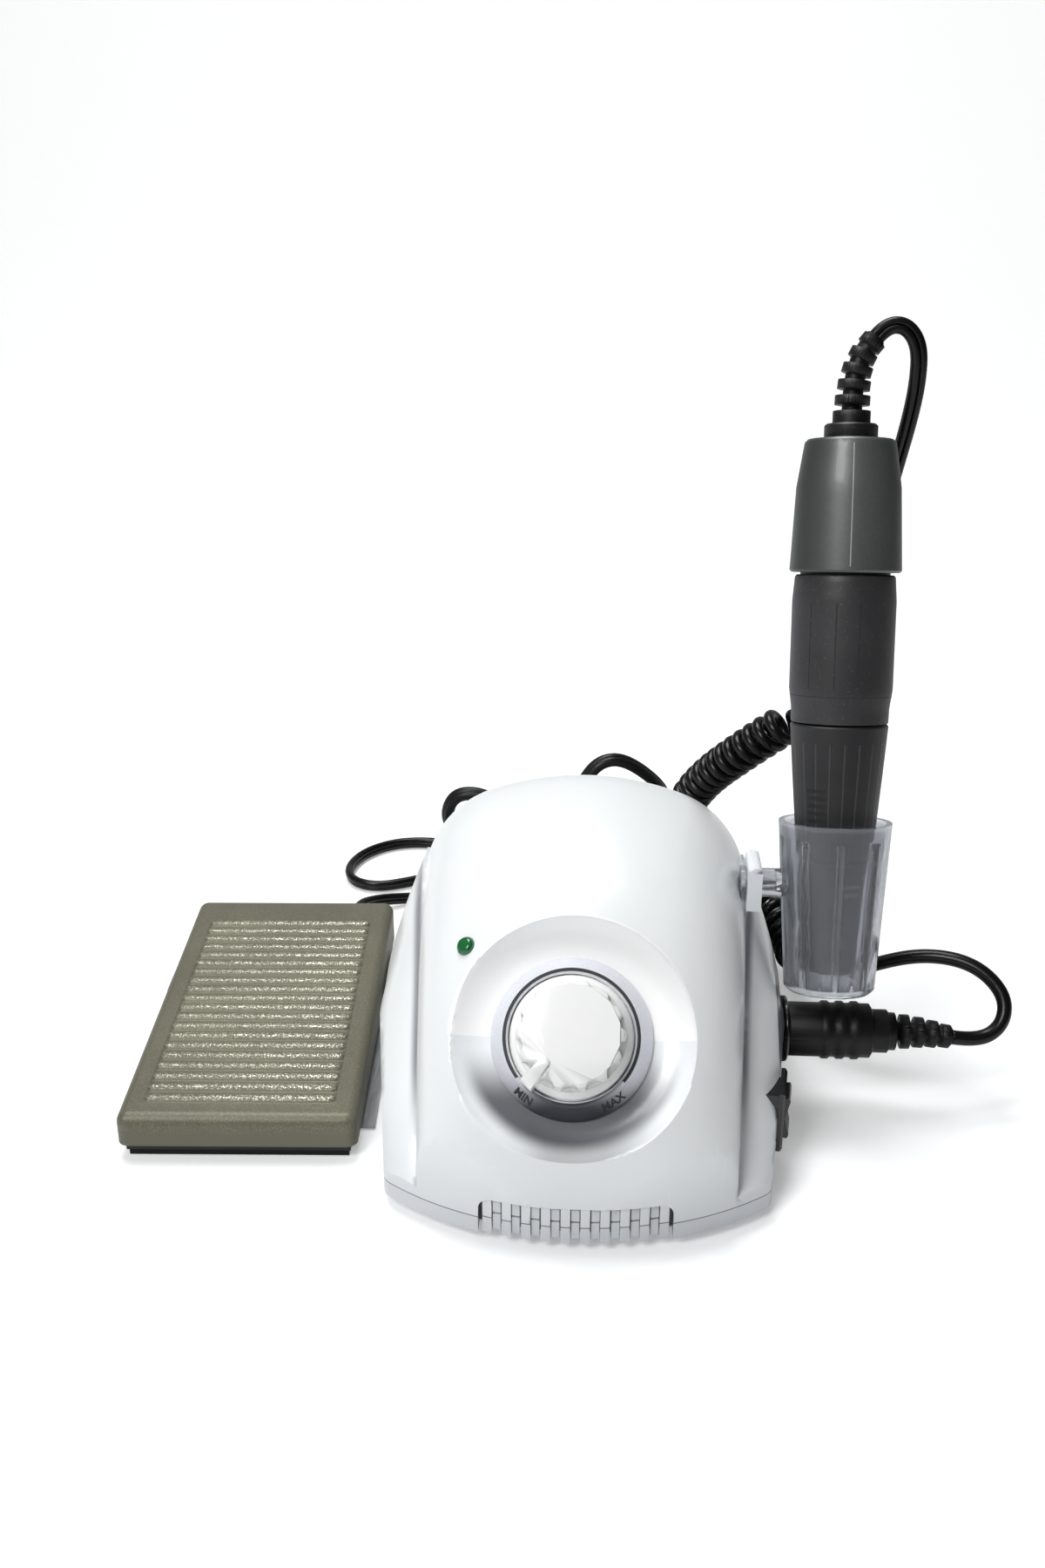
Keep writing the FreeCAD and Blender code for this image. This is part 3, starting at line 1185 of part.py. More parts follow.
def wedge(x, y0, y1, low, drop):
    """Block whose top follows the treadle's slope, lowered by drop."""
    side = [(y0, low), (y1, low), (y1, treadle_top(y1) - drop), (y0, treadle_top(y0) - drop)]
    corners = [Vector(-x, a, b) for a, b in side]
    return Part.Face(Part.makePolygon(corners + corners[:1])).extrude(Vector(2 * x, 0, 0))


def treadle():
    half = PEDAL_WIDTH / 2
    shell = wedge(half, 0, PEDAL_LENGTH, TREADLE_SKIRT, 0)
    rim = [e for e in shell.Edges if min(v.Point.z for v in e.Vertexes) > TREADLE_SKIRT + 1]
    corners = [e for e in shell.Edges if abs(e.Vertexes[0].Point.z - e.Vertexes[-1].Point.z) > 5]
    shell = shell.makeFillet(TREADLE_ROUND, rim + corners)
    hollow = wedge(half - TREADLE_THICK, TREADLE_THICK, PEDAL_LENGTH - TREADLE_THICK, -5, TREADLE_THICK)
    inner = [e for e in hollow.Edges if abs(e.Vertexes[0].Point.z - e.Vertexes[-1].Point.z) > 5]
    shell = shell.cut(hollow.makeFillet(TREADLE_ROUND - TREADLE_THICK, inner))
    slope = math.atan2(PEDAL_FAR_TOP - PEDAL_NEAR_TOP, PEDAL_LENGTH)
    sink = RIB_RADIUS - RIB_RISE
    for i in range(RIB_COUNT):
        y = RIB_START + i * RIB_PITCH
        z = treadle_top(y) - sink * math.cos(slope)
        rib = rod(RIB_RADIUS, (-RIB_HALF, y, z), (1, 0, 0), 2 * RIB_HALF)
        rib = rib.fuse(Part.makeSphere(RIB_RADIUS, Vector(-RIB_HALF, y, z)))
        rib = rib.fuse(Part.makeSphere(RIB_RADIUS, Vector(RIB_HALF, y, z)))
        low = treadle_top(y) - TREADLE_THICK / 2
        shell = shell.fuse(rib.common(block(-half, half, y - 4, y + 4, low, low + 9)))
    for x in (-half + TREADLE_THICK, half - TREADLE_THICK - 2):
        ear = block(x, x + 2, HINGE_Y - 4, HINGE_Y + 4, HINGE_Z - 3.5, PEDAL_FAR_TOP - 1.2)
        shell = shell.fuse(ear)
    bore = rod(HINGE_RADIUS + RUNNING_GAP, (-half + TREADLE_THICK - 0.1, HINGE_Y, HINGE_Z), (1, 0, 0), PEDAL_WIDTH - 2 * TREADLE_THICK + 0.2)
    reach = PEDAL_GLAND_RADIUS + 0.4
    centre = PAD_THICK + BASE_THICK + 3.6
    notch = block(PEDAL_GLAND_X - reach, PEDAL_GLAND_X + reach, PEDAL_LENGTH - 4, PEDAL_LENGTH + 2, 0, centre + reach)
    return placed(one(shell.cut(bore).cut(notch)), pedal_frame())


def pedal_inner():
    return PEDAL_WIDTH / 2 - TREADLE_THICK - PEDAL_GAP


def pedal_base():
    """Steel base plate with the hinge ears, spring seats, and a low flange with a lug along each side."""
    half = pedal_inner()
    near, far = TREADLE_THICK + PEDAL_GAP, PEDAL_LENGTH - TREADLE_THICK - PEDAL_GAP
    top = PAD_THICK + BASE_THICK
    plate = block(-half, half, near, far, PAD_THICK, top)
    for x in (-half + 2.6, half - 4.6):
        ear = block(x, x + 2, HINGE_Y - 4, HINGE_Y + 4, top - 0.5, HINGE_Z + 3.4)
        plate = plate.fuse(ear)
    for x in (-SPRING_X, SPRING_X):
        plate = plate.fuse(rod(SPRING_RADIUS - 1.6, (x, SPRING_Y, top - 0.5), (0, 0, 1), 3.0))
    wide = PEDAL_WIDTH / 2 + FLANGE_REACH
    ends = (FLANGE_ENDS, PEDAL_LENGTH - FLANGE_ENDS)
    low = FLANGE_LIFT
    for side in (-1, 1):
        for reach, span, high in (
                ((half - PAD_INSET, wide), ends, low + FLANGE_THICK), ((half - PAD_INSET, half), ends, top),
                ((wide - LUG_THICK, wide), LUG_SPAN, LUG_HEIGHT)):
            x0, x1 = sorted(side * x for x in reach)
            plate = plate.fuse(block(x0, x1, span[0], span[1], low, high))
    bore = rod(HINGE_RADIUS, (-half, HINGE_Y, HINGE_Z), (1, 0, 0), 2 * half)
    return placed(one(plate.cut(bore)), pedal_frame())


def pedal_pad():
    half = pedal_inner() - PAD_INSET
    edge = TREADLE_THICK + PEDAL_GAP + PAD_INSET
    return placed(block(-half, half, edge, PEDAL_LENGTH - edge, 0, PAD_THICK), pedal_frame())


def hinge_pin():
    half = PEDAL_WIDTH / 2 - TREADLE_THICK - 0.2
    return placed(rod(HINGE_RADIUS, (-half, HINGE_Y, HINGE_Z), (1, 0, 0), 2 * half), pedal_frame())


def pedal_springs():
    low = PAD_THICK + BASE_THICK
    high = treadle_top(SPRING_Y) - TREADLE_THICK - 0.3
    inner = SPRING_RADIUS - 1.4
    springs = [placed(tube(SPRING_RADIUS, inner, low, high), FreeCAD.Placement(Vector(x, SPRING_Y, 0), FreeCAD.Rotation()))
               for x in (-SPRING_X, SPRING_X)]
    return placed(Part.makeCompound(springs), pedal_frame())


def pedal_switch():
    low = PAD_THICK + BASE_THICK
    return placed(block(-9, 9, 62, 76, low, low + 5.6), pedal_frame())


def pedal_gland():
    """Collar on the base's far edge that the cord leaves through, below the treadle's skirt."""
    far = PEDAL_LENGTH - TREADLE_THICK - PEDAL_GAP
    end = PEDAL_LENGTH + PEDAL_GLAND_LENGTH
    top = PAD_THICK + BASE_THICK
    foot = block(PEDAL_GLAND_X - 5, PEDAL_GLAND_X + 5, far - 5.5, far - 0.4, top, top + 3.6)
    barrel = rod(PEDAL_GLAND_RADIUS - 0.4, (PEDAL_GLAND_X, far - 5.5, top + 3.6), (0, 1, 0), end - far + 5.5)
    bore = rod(PEDAL_CORD_RADIUS + RUNNING_GAP, (PEDAL_GLAND_X, far - 12, top + 3.6), (0, 1, 0), 40)
    return placed(one(foot.fuse(barrel).cut(bore)), pedal_frame())


def pedal_plug():
    outline = [
        (0, -8.6), (JACK_BORE - 0.2, -8.6), (JACK_BORE - 0.2, 1.5), (5.2, 1.5), (5.2, 13), (3.6, 15), (3.0, 23), (0, 23)]
    return placed(turned(outline), rear_frame(*JACK_AT))


def mains_plug(at):
    """Moulded plug lying beside the coil with its two round pins."""
    x, y, z = at.x, at.y, at.z
    plug = turned([(0, 0), (3.2, 0), (3.6, 9), (7.6, 12), (8.0, 22), (8.0, 30), (7.0, 32), (0, 32)])
    for side in (-1, 1):
        plug = plug.fuse(rod(2.0, (side * 4.0, 0, 31.5), (0, 0, 1), 15))
    turn = FreeCAD.Rotation(Vector(0, 1, 0), -90)
    return placed(plug, FreeCAD.Placement(Vector(x, y, z), turn).multiply(
        FreeCAD.Placement(Vector(), FreeCAD.Rotation(Vector(0, 0, 1), 90))))


def cord_tie():
    """Strap round one side of the coil's two layers."""
    low = MAINS_ROUTE[-1][2] - MAINS_RADIUS
    high = low + 4 * MAINS_RADIUS + 0.6 + FIT_GAP
    x, y = COIL_CENTRE
    inmost = COIL_RADIUS - COIL_PITCH * (COIL_TURNS + 0.25) - MAINS_RADIUS
    inner = math.sqrt(inmost ** 2 - TIE_HALF ** 2) - FIT_GAP
    outer = COIL_RADIUS + COIL_PITCH / 2 + MAINS_RADIUS + FIT_GAP
    wrap = block(x + inner - TIE_THICK, x + outer + TIE_THICK, y - TIE_HALF, y + TIE_HALF, low, high + TIE_THICK)
    return wrap.cut(block(x + inner, x + outer, y - 9, y + 9, low - 5, high))


def build():
    """Every node of the set by name."""
    outer = body(0.0, FOOT_HEIGHT)
    inner = body(WALL, FOOT_HEIGHT + FLOOR)
    rear_bearing, front_bearing = bearings()
    coil, plug_at = mains_coil()
    side_switch, rear_switch = side_frame(*DIRECTION_AT), rear_frame(*POWER_AT)
    pressed = FreeCAD.Placement(Vector(), FreeCAD.Rotation(Vector(1, 0, 0), ROCKER_TILT))
    return {
        "top_cover": top_cover(outer, inner), "base_tray": base_tray(outer, inner),
        "vent_screen": vent_screen(), "rubber_feet": rubber_feet(), "case_screws": case_screws(),
        "dial_bezel": dial_bezel(), "speed_knob": speed_knob(), "dial_shaft": dial_shaft(),
        "potentiometer": potentiometer(), "dial_nut": dial_nut(), "power_lamp": power_lamp(),
        "circuit_board": circuit_board(), "capacitors": capacitors(), "heat_sink": heat_sink(),
        "power_transistor": power_transistor(),
        "transformer_core": transformer_core(), "transformer_winding": transformer_winding(),
        "handpiece_socket": handpiece_socket(),
        "direction_switch": placed(switch_body(), side_switch), "direction_rocker": placed(rocker(), side_switch),
        "power_switch": placed(switch_body(), rear_switch),
        "power_rocker": placed(placed(rocker(), pressed), rear_switch),
        "fuse_holder": fuse_holder(), "pedal_jack": pedal_jack(), "mains_gland": mains_gland(),
        "holder_clip": holder_clip(), "holder_cup": holder_cup(),
        "tail_cap": tail_cap(), "tail_collar": tail_collar(), "cord_relief": cord_relief(),
        "motor_housing": motor_housing(), "chuck_sleeve": chuck_sleeve(), "nose_cone": nose_cone(),
        "end_bell": end_bell(), "rear_bearing": rear_bearing, "front_bearing": front_bearing,
        "motor_magnets": motor_magnets(), "brushes": brushes(),
        "spindle": spindle(), "rotor": rotor(), "commutator": commutator(), "collet": collet(),
        "treadle": treadle(), "pedal_base": pedal_base(), "pedal_pad": pedal_pad(), "hinge_pin": hinge_pin(),
        "pedal_springs": pedal_springs(), "pedal_switch": pedal_switch(), "pedal_gland": pedal_gland(),
        "handpiece_cord_upper": cord("handpiece_cord_upper", UPPER_ROUTE, PLAIN_RADIUS),
        "handpiece_cord_curl": curly_cord(),
        "handpiece_cord_lower": cord("handpiece_cord_lower", LOWER_ROUTE, PLAIN_RADIUS),
        "handpiece_plug": handpiece_plug(),
        "pedal_cord": cord("pedal_cord", PEDAL_ROUTE, PEDAL_CORD_RADIUS), "pedal_plug": pedal_plug(),
        "mains_cord": cord("mains_cord", MAINS_ROUTE, MAINS_RADIUS), "mains_coil": coil,
        "mains_plug": mains_plug(plug_at), "cord_tie": cord_tie()}


FREE_CORDS = {
    "handpiece_cord_upper", "handpiece_cord_curl", "handpiece_cord_lower", "handpiece_plug",
    "pedal_cord", "pedal_plug", "mains_cord", "mains_coil", "mains_plug", "cord_tie"}

nodes = build()
held = Part.makeCompound([shape for name, shape in nodes.items() if name not in FREE_CORDS])
extent = held.optimalBoundingBox(False)
origin = Vector(-extent.Center.x, -extent.Center.y, 0)
print(f"origin shift {origin.x:.3f} {origin.y:.3f}; held pieces {extent.XLength:.1f} x {extent.YLength:.1f} x {extent.ZLength:.1f}")
os.makedirs("parts", exist_ok=True)
for name, shape in nodes.items():
    final = placed(shape, FreeCAD.Placement(origin, FreeCAD.Rotation()))
    final.exportStep(f"parts/{name}.step")
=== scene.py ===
"""Benchtop micromotor set: white control box, handpiece in its clear cup, ribbed foot pedal and cords."""
import bpy
import bmesh
import json
import math
from mathutils import Euler, Matrix, Vector


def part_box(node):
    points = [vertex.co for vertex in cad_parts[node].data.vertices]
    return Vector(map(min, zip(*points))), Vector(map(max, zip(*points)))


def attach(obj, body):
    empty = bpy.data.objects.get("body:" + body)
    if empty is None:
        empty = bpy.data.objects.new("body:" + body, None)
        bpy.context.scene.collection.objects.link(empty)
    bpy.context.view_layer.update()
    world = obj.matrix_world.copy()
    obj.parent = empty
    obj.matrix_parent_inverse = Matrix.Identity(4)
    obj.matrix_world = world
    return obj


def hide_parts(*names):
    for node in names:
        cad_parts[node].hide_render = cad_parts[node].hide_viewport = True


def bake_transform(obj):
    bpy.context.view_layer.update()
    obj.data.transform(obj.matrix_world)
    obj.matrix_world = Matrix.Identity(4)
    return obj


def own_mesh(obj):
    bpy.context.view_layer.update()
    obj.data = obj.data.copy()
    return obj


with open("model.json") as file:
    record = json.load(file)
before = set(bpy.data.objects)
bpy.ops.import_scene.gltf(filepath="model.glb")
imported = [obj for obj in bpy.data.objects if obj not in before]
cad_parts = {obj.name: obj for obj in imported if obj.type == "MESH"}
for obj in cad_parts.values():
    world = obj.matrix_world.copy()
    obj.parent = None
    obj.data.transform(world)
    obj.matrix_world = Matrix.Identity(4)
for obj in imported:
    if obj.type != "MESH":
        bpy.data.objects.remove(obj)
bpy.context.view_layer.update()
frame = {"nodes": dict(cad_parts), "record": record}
nodes = frame["nodes"]
joint_at = {j["name"]: j.get("pos_m") for j in frame["record"]["behaviour"]["joints"]}

# The drawing's own origin is on the table at the middle of the box's front, the frame's under the whole set
DIAL_CENTRE = Vector((-1.9, 24.2, 49.2))
SHIFT = Vector(joint_at["speed_turn"]) * 1000 - DIAL_CENTRE
SHIFT.z = 0.0
DIAL_ELEVATION = 37.0
WELL_RADIUS = 0.0165
HAND_RIM, HAND_LEAN = Vector((69.0, 97.7, 152.6)), 15.5
HAND_RADIUS = 0.0139
PEDAL_CORNER, PEDAL_YAW = Vector((-93.8, 35.0, 0.0)), 2.4
SEAM_HEIGHT = 0.0077
TREADLE_TRAVEL = 1.9
CUP_RIM, CUP_END, CUP_RIBS = 0.0684, 0.1158, 8
FRONT_BOW = (0.8, 81.3)
BODY_OF = {name: body for body, names in frame["record"]["behaviour"]["bodies"].items() for name in names}


def at(x, y, z):
    """A point of the drawing, in millimetres, as a place in the scene."""
    return (Vector((x, y, z)) + SHIFT) / 1000


# Camera and stage

def camera():
    data = bpy.data.cameras.new("camera")
    data.lens = 36
    data.sensor_width = 36
    data.clip_start = 0.01
    eye = bpy.data.objects.new("camera", data)
    eye.location = at(3.5, -318.5, 265.0)
    eye.rotation_euler = (math.radians(67), 0, math.radians(3))
    bpy.context.collection.objects.link(eye)
    bpy.context.scene.camera = eye


camera()


# Material nodes written as sums and products

class Wire:
    """One output of a material's node, with arithmetic."""

    def __init__(self, graph, socket):
        self.graph, self.socket = graph, socket

    def _math(self, operation, *others):
        node = self.graph.node("ShaderNodeMath", {"operation": operation}, dict(enumerate((self,) + others)))
        return Wire(self.graph, node.outputs[0])

    def _flipped(self, operation, other):
        node = self.graph.node("ShaderNodeMath", {"operation": operation}, {0: other, 1: self})
        return Wire(self.graph, node.outputs[0])

    def __add__(self, other):
        return self._math("ADD", other)

    def __sub__(self, other):
        return self._math("SUBTRACT", other)

    def __mul__(self, other):
        return self._math("MULTIPLY", other)

    def __truediv__(self, other):
        return self._math("DIVIDE", other)

    def __pow__(self, other):
        return self._math("POWER", other)

    def __radd__(self, other):
        return self + other

    def __rmul__(self, other):
        return self * other

    def __rsub__(self, other):
        return self._flipped("SUBTRACT", other)

    def above(self, level):
        return self._math("GREATER_THAN", level)

    def below(self, level):
        return self._math("LESS_THAN", level)

    def least(self, other):
        return self._math("MINIMUM", other)

    def most(self, other):
        return self._math("MAXIMUM", other)

    def size(self):
        return self._math("ABSOLUTE")

    def sine(self):
        return self._math("SINE")

    def fraction(self):
        return self._math("FRACT")

    def angle_from(self, other):
        return self._math("ARCTAN2", other)

    def smooth(self, low, high):
        """0 below low, 1 above high, with soft shoulders."""
        node = self.graph.node(
            "ShaderNodeMapRange", {"interpolation_type": "SMOOTHSTEP"},
            {"Value": self, "From Min": low, "From Max": high})
        return Wire(self.graph, node.outputs[0])


class Graph:
    """The nodes of one finish, ending in a Principled shader."""

    def __init__(self, name):
        self.material = bpy.data.materials.new(name)
        self.material.use_nodes = True
        self.tree = self.material.node_tree
        self.tree.nodes.clear()
        self.shader = self.node("ShaderNodeBsdfPrincipled")
        self.out = self.node("ShaderNodeOutputMaterial")
        self.tree.links.new(self.shader.outputs[0], self.out.inputs[0])
        self.place = Wire(self, self.node("ShaderNodeTexCoord").outputs["Object"])

    def node(self, kind, settings=None, feeds=None):
        node = self.tree.nodes.new(kind)
        for key, value in (settings or {}).items():
            if key == "stops":
                ramp = node.color_ramp.elements
                while len(ramp) < len(value):
                    ramp.new(0.5)
                for stop, (position, colour) in zip(ramp, value):
                    stop.position, stop.color = position, colour
            else:
                setattr(node, key, value)
        for key, value in (feeds or {}).items():
            self.feed(node.inputs[key], value)
        return node

    def feed(self, socket, value):
        if isinstance(value, Wire):
            self.tree.links.new(value.socket, socket)
        else:
            socket.default_value = value

    def set(self, **feeds):
        for key, value in feeds.items():
            self.feed(self.shader.inputs[key.replace("_", " ")], value)

    def noise(self, scale, detail=2.0, roughness=0.5, where=None):
        feeds = {"Vector": where or self.place, "Scale": scale, "Detail": detail, "Roughness": roughness}
        return Wire(self, self.node("ShaderNodeTexNoise", {}, feeds).outputs[0])

    def cells(self, scale, where=None):
        feeds = {"Vector": where or self.place, "Scale": scale}
        return Wire(self, self.node("ShaderNodeTexVoronoi", {}, feeds).outputs["Distance"])

    def moved(self, offset=(0, 0, 0), turn=(0, 0, 0), scale=(1, 1, 1)):
        node = self.node(
            "ShaderNodeMapping", {"vector_type": "POINT"},
            {"Vector": self.place, "Location": offset, "Rotation": turn, "Scale": scale})
        return Wire(self, node.outputs[0])

    def parts(self, where):
        node = self.node("ShaderNodeSeparateXYZ", {}, {0: where})
        return [Wire(self, socket) for socket in node.outputs]

    def mixed(self, share, first, second):
        node = self.node("ShaderNodeMix", {"data_type": "RGBA"})
        for socket, value in zip((node.inputs[0], node.inputs[6], node.inputs[7]), (share, first, second)):
            self.feed(socket, value)
        return Wire(self, node.outputs[2])

    def bump(self, height, distance, strength=1.0):
        node = self.node("ShaderNodeBump", {}, {"Height": height, "Distance": distance, "Strength": strength})
        self.set(Normal=Wire(self, node.outputs[0]))


def paint(red, green, blue):
    """A colour as seen on a screen, 0 to 255, in linear light."""
    def linear(c):
        c /= 255
        return c / 12.92 if c <= 0.04045 else ((c + 0.055) / 1.055) ** 2.4
    return (linear(red), linear(green), linear(blue), 1.0)


def shade(colour, factor):
    return tuple(c * factor for c in colour[:3]) + (1.0,)


# Finishes

def moulded(name, colour, roughness=0.4, grain=0.00002, grain_scale=2600, coat=0.0, cloud=0.04, dust=0.0):
    """Moulded plastic: faint clouds in colour and gloss, and the mould's fine grain."""
    g = Graph(name)
    clouds = g.noise(38, 3)
    fine = g.noise(grain_scale, 3, 0.6)
    tint = g.mixed(clouds.smooth(0.3, 0.7), shade(colour, 1 - cloud), shade(colour, 1 + cloud))
    if dust:
        specks = g.noise(1500, 2).smooth(0.62, 0.72) * dust
        tint = g.mixed(specks, tint, paint(190, 188, 182))
    g.set(Base_Color=tint, Roughness=roughness - 0.05 + clouds * 0.06 + fine * 0.06)
    g.set(Coat_Weight=coat)
    g.shader.inputs["Coat Roughness"].default_value = 0.12
    g.bump(fine, grain)
    return g.material


def pearl_case(name, top, bottom):
    """White pearl lacquer: tiny flakes, a soft clear coat and the seam's line, with painted shade (darker
    towards the bottom, along the creases, on the right side panel and under the dial) and painted light on
    the upper half of the dish round the dial.
    """
    g = Graph(name)
    z = g.parts(g.place)[2]
    flakes = g.cells(5200)
    clouds = g.noise(24, 3)
    base = g.mixed(clouds.smooth(0.3, 0.7), shade(top, 0.97), top)
    base = g.mixed(flakes.smooth(0.15, 0.6) * 0.12, base, paint(246, 247, 250))
    # painted shade: the case is painted darker towards the bottom, in the second colour
    base = g.mixed(1 - z.smooth(0.003, 0.030), base, bottom)
    seam = (z - SEAM_HEIGHT).size().below(0.00016)
    base = g.mixed(seam * 0.8, base, paint(70, 72, 76))
    here = g.parts(g.moved(tuple(-c for c in at(0, 0, 0))))
    front = (1 - here[1] / 0.092).most(0.0)
    # painted shade: a dark soft line along the creases between the vault and the shoulders
    valley = here[0].size() - 0.0472 + front * 0.0065
    crease_shade = valley.smooth(-0.0011, 0.0001) * (1 - valley.smooth(0.0004, 0.0026))
    crease_shade = crease_shade * here[2].smooth(0.016, 0.034) * here[1].above(0.006) * here[1].below(0.1)
    base = g.mixed(crease_shade * 0.85, base, paint(118, 120, 127))
    # painted shade: the right side panel is painted dark grey
    shaded_side_panel = here[0].above(0.0545) * here[1].above(0.03)
    base = g.mixed(shaded_side_panel, base, paint(104, 107, 112))
    dial = on_frame(g, DIAL_CENTRE, (DIAL_ELEVATION - 90, 0, 0))
    reach = (dial[0] * dial[0] + dial[1] * dial[1]) ** 0.5
    # painted shadow of the bezel on the dish below the dial
    dial_shadow = (1 - reach.smooth(0.0255, 0.0302)) * (0 - dial[1]).smooth(0.002, 0.017)
    dial_shadow = dial_shadow * reach.above(0.020) * dial[2].size().below(0.008)
    # painted light: the upper half of the dish round the dial is painted pure white
    lit_dish = (1 - reach.smooth(0.0305, 0.0325)) * dial[2].size().below(0.009) * dial[1].above(0.0)
    base = g.mixed(lit_dish, base, paint(255, 255, 255))
    base = g.mixed(dial_shadow * 0.92, base, paint(74, 76, 84))
    g.set(Base_Color=base, Roughness=0.30 + clouds * 0.08 + seam * 0.3)
    g.set(Coat_Weight=0.35, Metallic=flakes.smooth(0.5, 0.2) * 0.1)
    g.shader.inputs["Coat Roughness"].default_value = 0.14
    g.bump(g.noise(900, 2), 0.000012)
    return g.material


def on_frame(g, centre, axis_turns):
    """A tilted piece's own x, y and z, given the turns about the axes that stand it upright."""
    turns = [math.radians(t) for t in axis_turns]
    upright = Euler(turns).to_matrix()
    offset = -(upright @ Vector(at(*centre)))
    return g.parts(g.moved(tuple(offset), tuple(turns)))


def bezel_silver():
    """Silver lilac ring with a fine grain, painted darker towards its lower side as shade."""
    g = Graph("bezel_silver")
    x, y, z = on_frame(g, DIAL_CENTRE, (DIAL_ELEVATION - 90, 0, 0))
    grain = g.noise(2600, 2)
    # painted shade: the ring's lower side is painted dark
    low = (y + x.size() * 0.25).smooth(-0.004, -0.017)
    tint = g.mixed(grain.smooth(0.35, 0.65), paint(220, 222, 229), paint(230, 232, 238))
    tint = g.mixed(low, tint, paint(60, 61, 70))
    inside = (x * x + y * y).below(WELL_RADIUS ** 2)
    tint = g.mixed(inside, tint, paint(250, 251, 253))
    g.set(Base_Color=tint, Roughness=0.38 + grain * 0.1, Metallic=0.35)
    g.bump(grain, 0.00001)
    return g.material


def hand_lines(angle, height, lines, width, top, bottom):
    """Mask of fine lines along the handpiece between two heights, at the given angles from its front."""
    mask = None
    for turn in lines:
        line = (angle - math.radians(turn)).size().below(width / 2 / HAND_RADIUS)
        mask = line if mask is None else mask.most(line)
    return mask * height.below(top) * height.above(bottom)


def cap_finish():
    """Mid grey satin lacquer with a painted soft vertical sheen, painted shade towards its flanks, and one
    fine moulding line painted pale as a highlight.
    """
    g = Graph("cap_satin")
    x, y, z = on_frame(g, HAND_RIM, (HAND_LEAN, 0, 0))
    angle = x.angle_from(0 - y)
    streaks = g.noise(900, 2, 0.5)
    clouds = g.noise(30, 2)
    line = hand_lines(angle, z, [-4.0], 0.00028, 0.033, 0.001)
    tint = g.mixed(clouds.smooth(0.3, 0.7), paint(96, 98, 97), paint(102, 104, 103))
    tint = g.mixed(streaks.smooth(0.45, 0.65) * 0.06, tint, paint(138, 139, 138))
    # painted shade: darker towards the flanks, away from the front
    tint = g.mixed((angle - 0.1).size().smooth(0.15, 1.25), tint, paint(70, 72, 72))
    # painted highlight: the moulding line is painted pale
    tint = g.mixed(line * 0.9, tint, paint(190, 191, 190))
    g.set(Base_Color=tint, Roughness=0.36 + clouds * 0.1, Metallic=0.5)
    g.shader.inputs["Coat Weight"].default_value = 0.1
    g.bump(g.noise(1800, 3, 0.6) * 0.4 + line, 0.00004)
    return g.material


def body_finish():
    """Charcoal moulded body: fine grooves along it, and a faint ring below them."""
    g = Graph("body_charcoal")
    x, y, z = on_frame(g, HAND_RIM, (HAND_LEAN, 0, 0))
    angle = x.angle_from(0 - y)
    fine = g.noise(1800, 3, 0.6)
    clouds = g.noise(50, 3)
    grooves = hand_lines(angle, z, [-46.0, -16.0, 10.0], 0.0003, -0.0085, -0.0315)
    ring = (z + 0.0335).size().below(0.00015)
    cut = grooves.most(ring * 0.6)
    dust = g.noise(1500, 2).smooth(0.62, 0.72) * 0.08
    tint = g.mixed(clouds.smooth(0.3, 0.7), paint(44, 44, 46), paint(52, 52, 54))
    tint = g.mixed(cut * 0.8, tint, paint(26, 26, 28))
    g.set(Base_Color=g.mixed(dust, tint, paint(170, 168, 165)), Roughness=0.42 + clouds * 0.08 + cut * 0.3)
    g.bump(fine * 0.25 - cut, 0.00012)
    return g.material


def sleeve_finish():
    """Charcoal gripping sleeve with shallow flats along it and a short column of ridges low on its left."""
    g = Graph("sleeve_charcoal")
    x, y, z = on_frame(g, HAND_RIM, (HAND_LEAN, 0, 0))
    angle = x.angle_from(0 - y)
    clouds = g.noise(50, 3)
    flats = (angle * (10 / math.pi)).fraction() - 0.5
    edges = flats.size().smooth(0.40, 0.48)
    low = z.below(-0.046)
    column = (angle + 0.62).size().below(0.24) * z.below(-0.0585) * z.above(-0.0745)
    ridges = (z * 480).fraction().above(0.45) * column
    tint = g.mixed(clouds.smooth(0.3, 0.7), paint(26, 26, 28), paint(35, 35, 37))
    tint = g.mixed(edges * low * 0.4, tint, paint(84, 84, 86))
    tint = g.mixed(ridges * 0.75, tint, paint(18, 18, 20))
    g.set(Base_Color=tint, Roughness=0.40 + clouds * 0.1 + ridges * 0.2)
    g.bump(edges * low * 0.6 - ridges + g.noise(1800, 3, 0.6) * 0.15, 0.00020)
    return g.material


def nose_finish():
    """Dark nose with a fine turned line and a few short bright marks low on its right, which are painted
    highlights.
    """
    g = Graph("nose_charcoal")
    x, y, z = on_frame(g, HAND_RIM, (HAND_LEAN, 0, 0))
    angle = x.angle_from(0 - y)
    # painted highlight: short bright metallic marks on one side only
    glint_marks = z.below(-0.0850) * z.above(-0.0858) + z.below(-0.0872) * z.above(-0.0882)
    glint_marks = glint_marks * (angle - 0.45).size().below(0.34) * 0.3
    streaks = g.noise(2400, 3, 0.6, g.moved(scale=(1, 1, 0.1)))
    tint = g.mixed(streaks.smooth(0.3, 0.7), paint(44, 44, 47), paint(56, 56, 59))
    tint = g.mixed(glint_marks, tint, paint(176, 178, 168))
    g.set(Base_Color=tint, Roughness=0.4 + streaks * 0.1, Metallic=glint_marks * 0.9)
    g.bump(streaks, 0.00001)
    return g.material


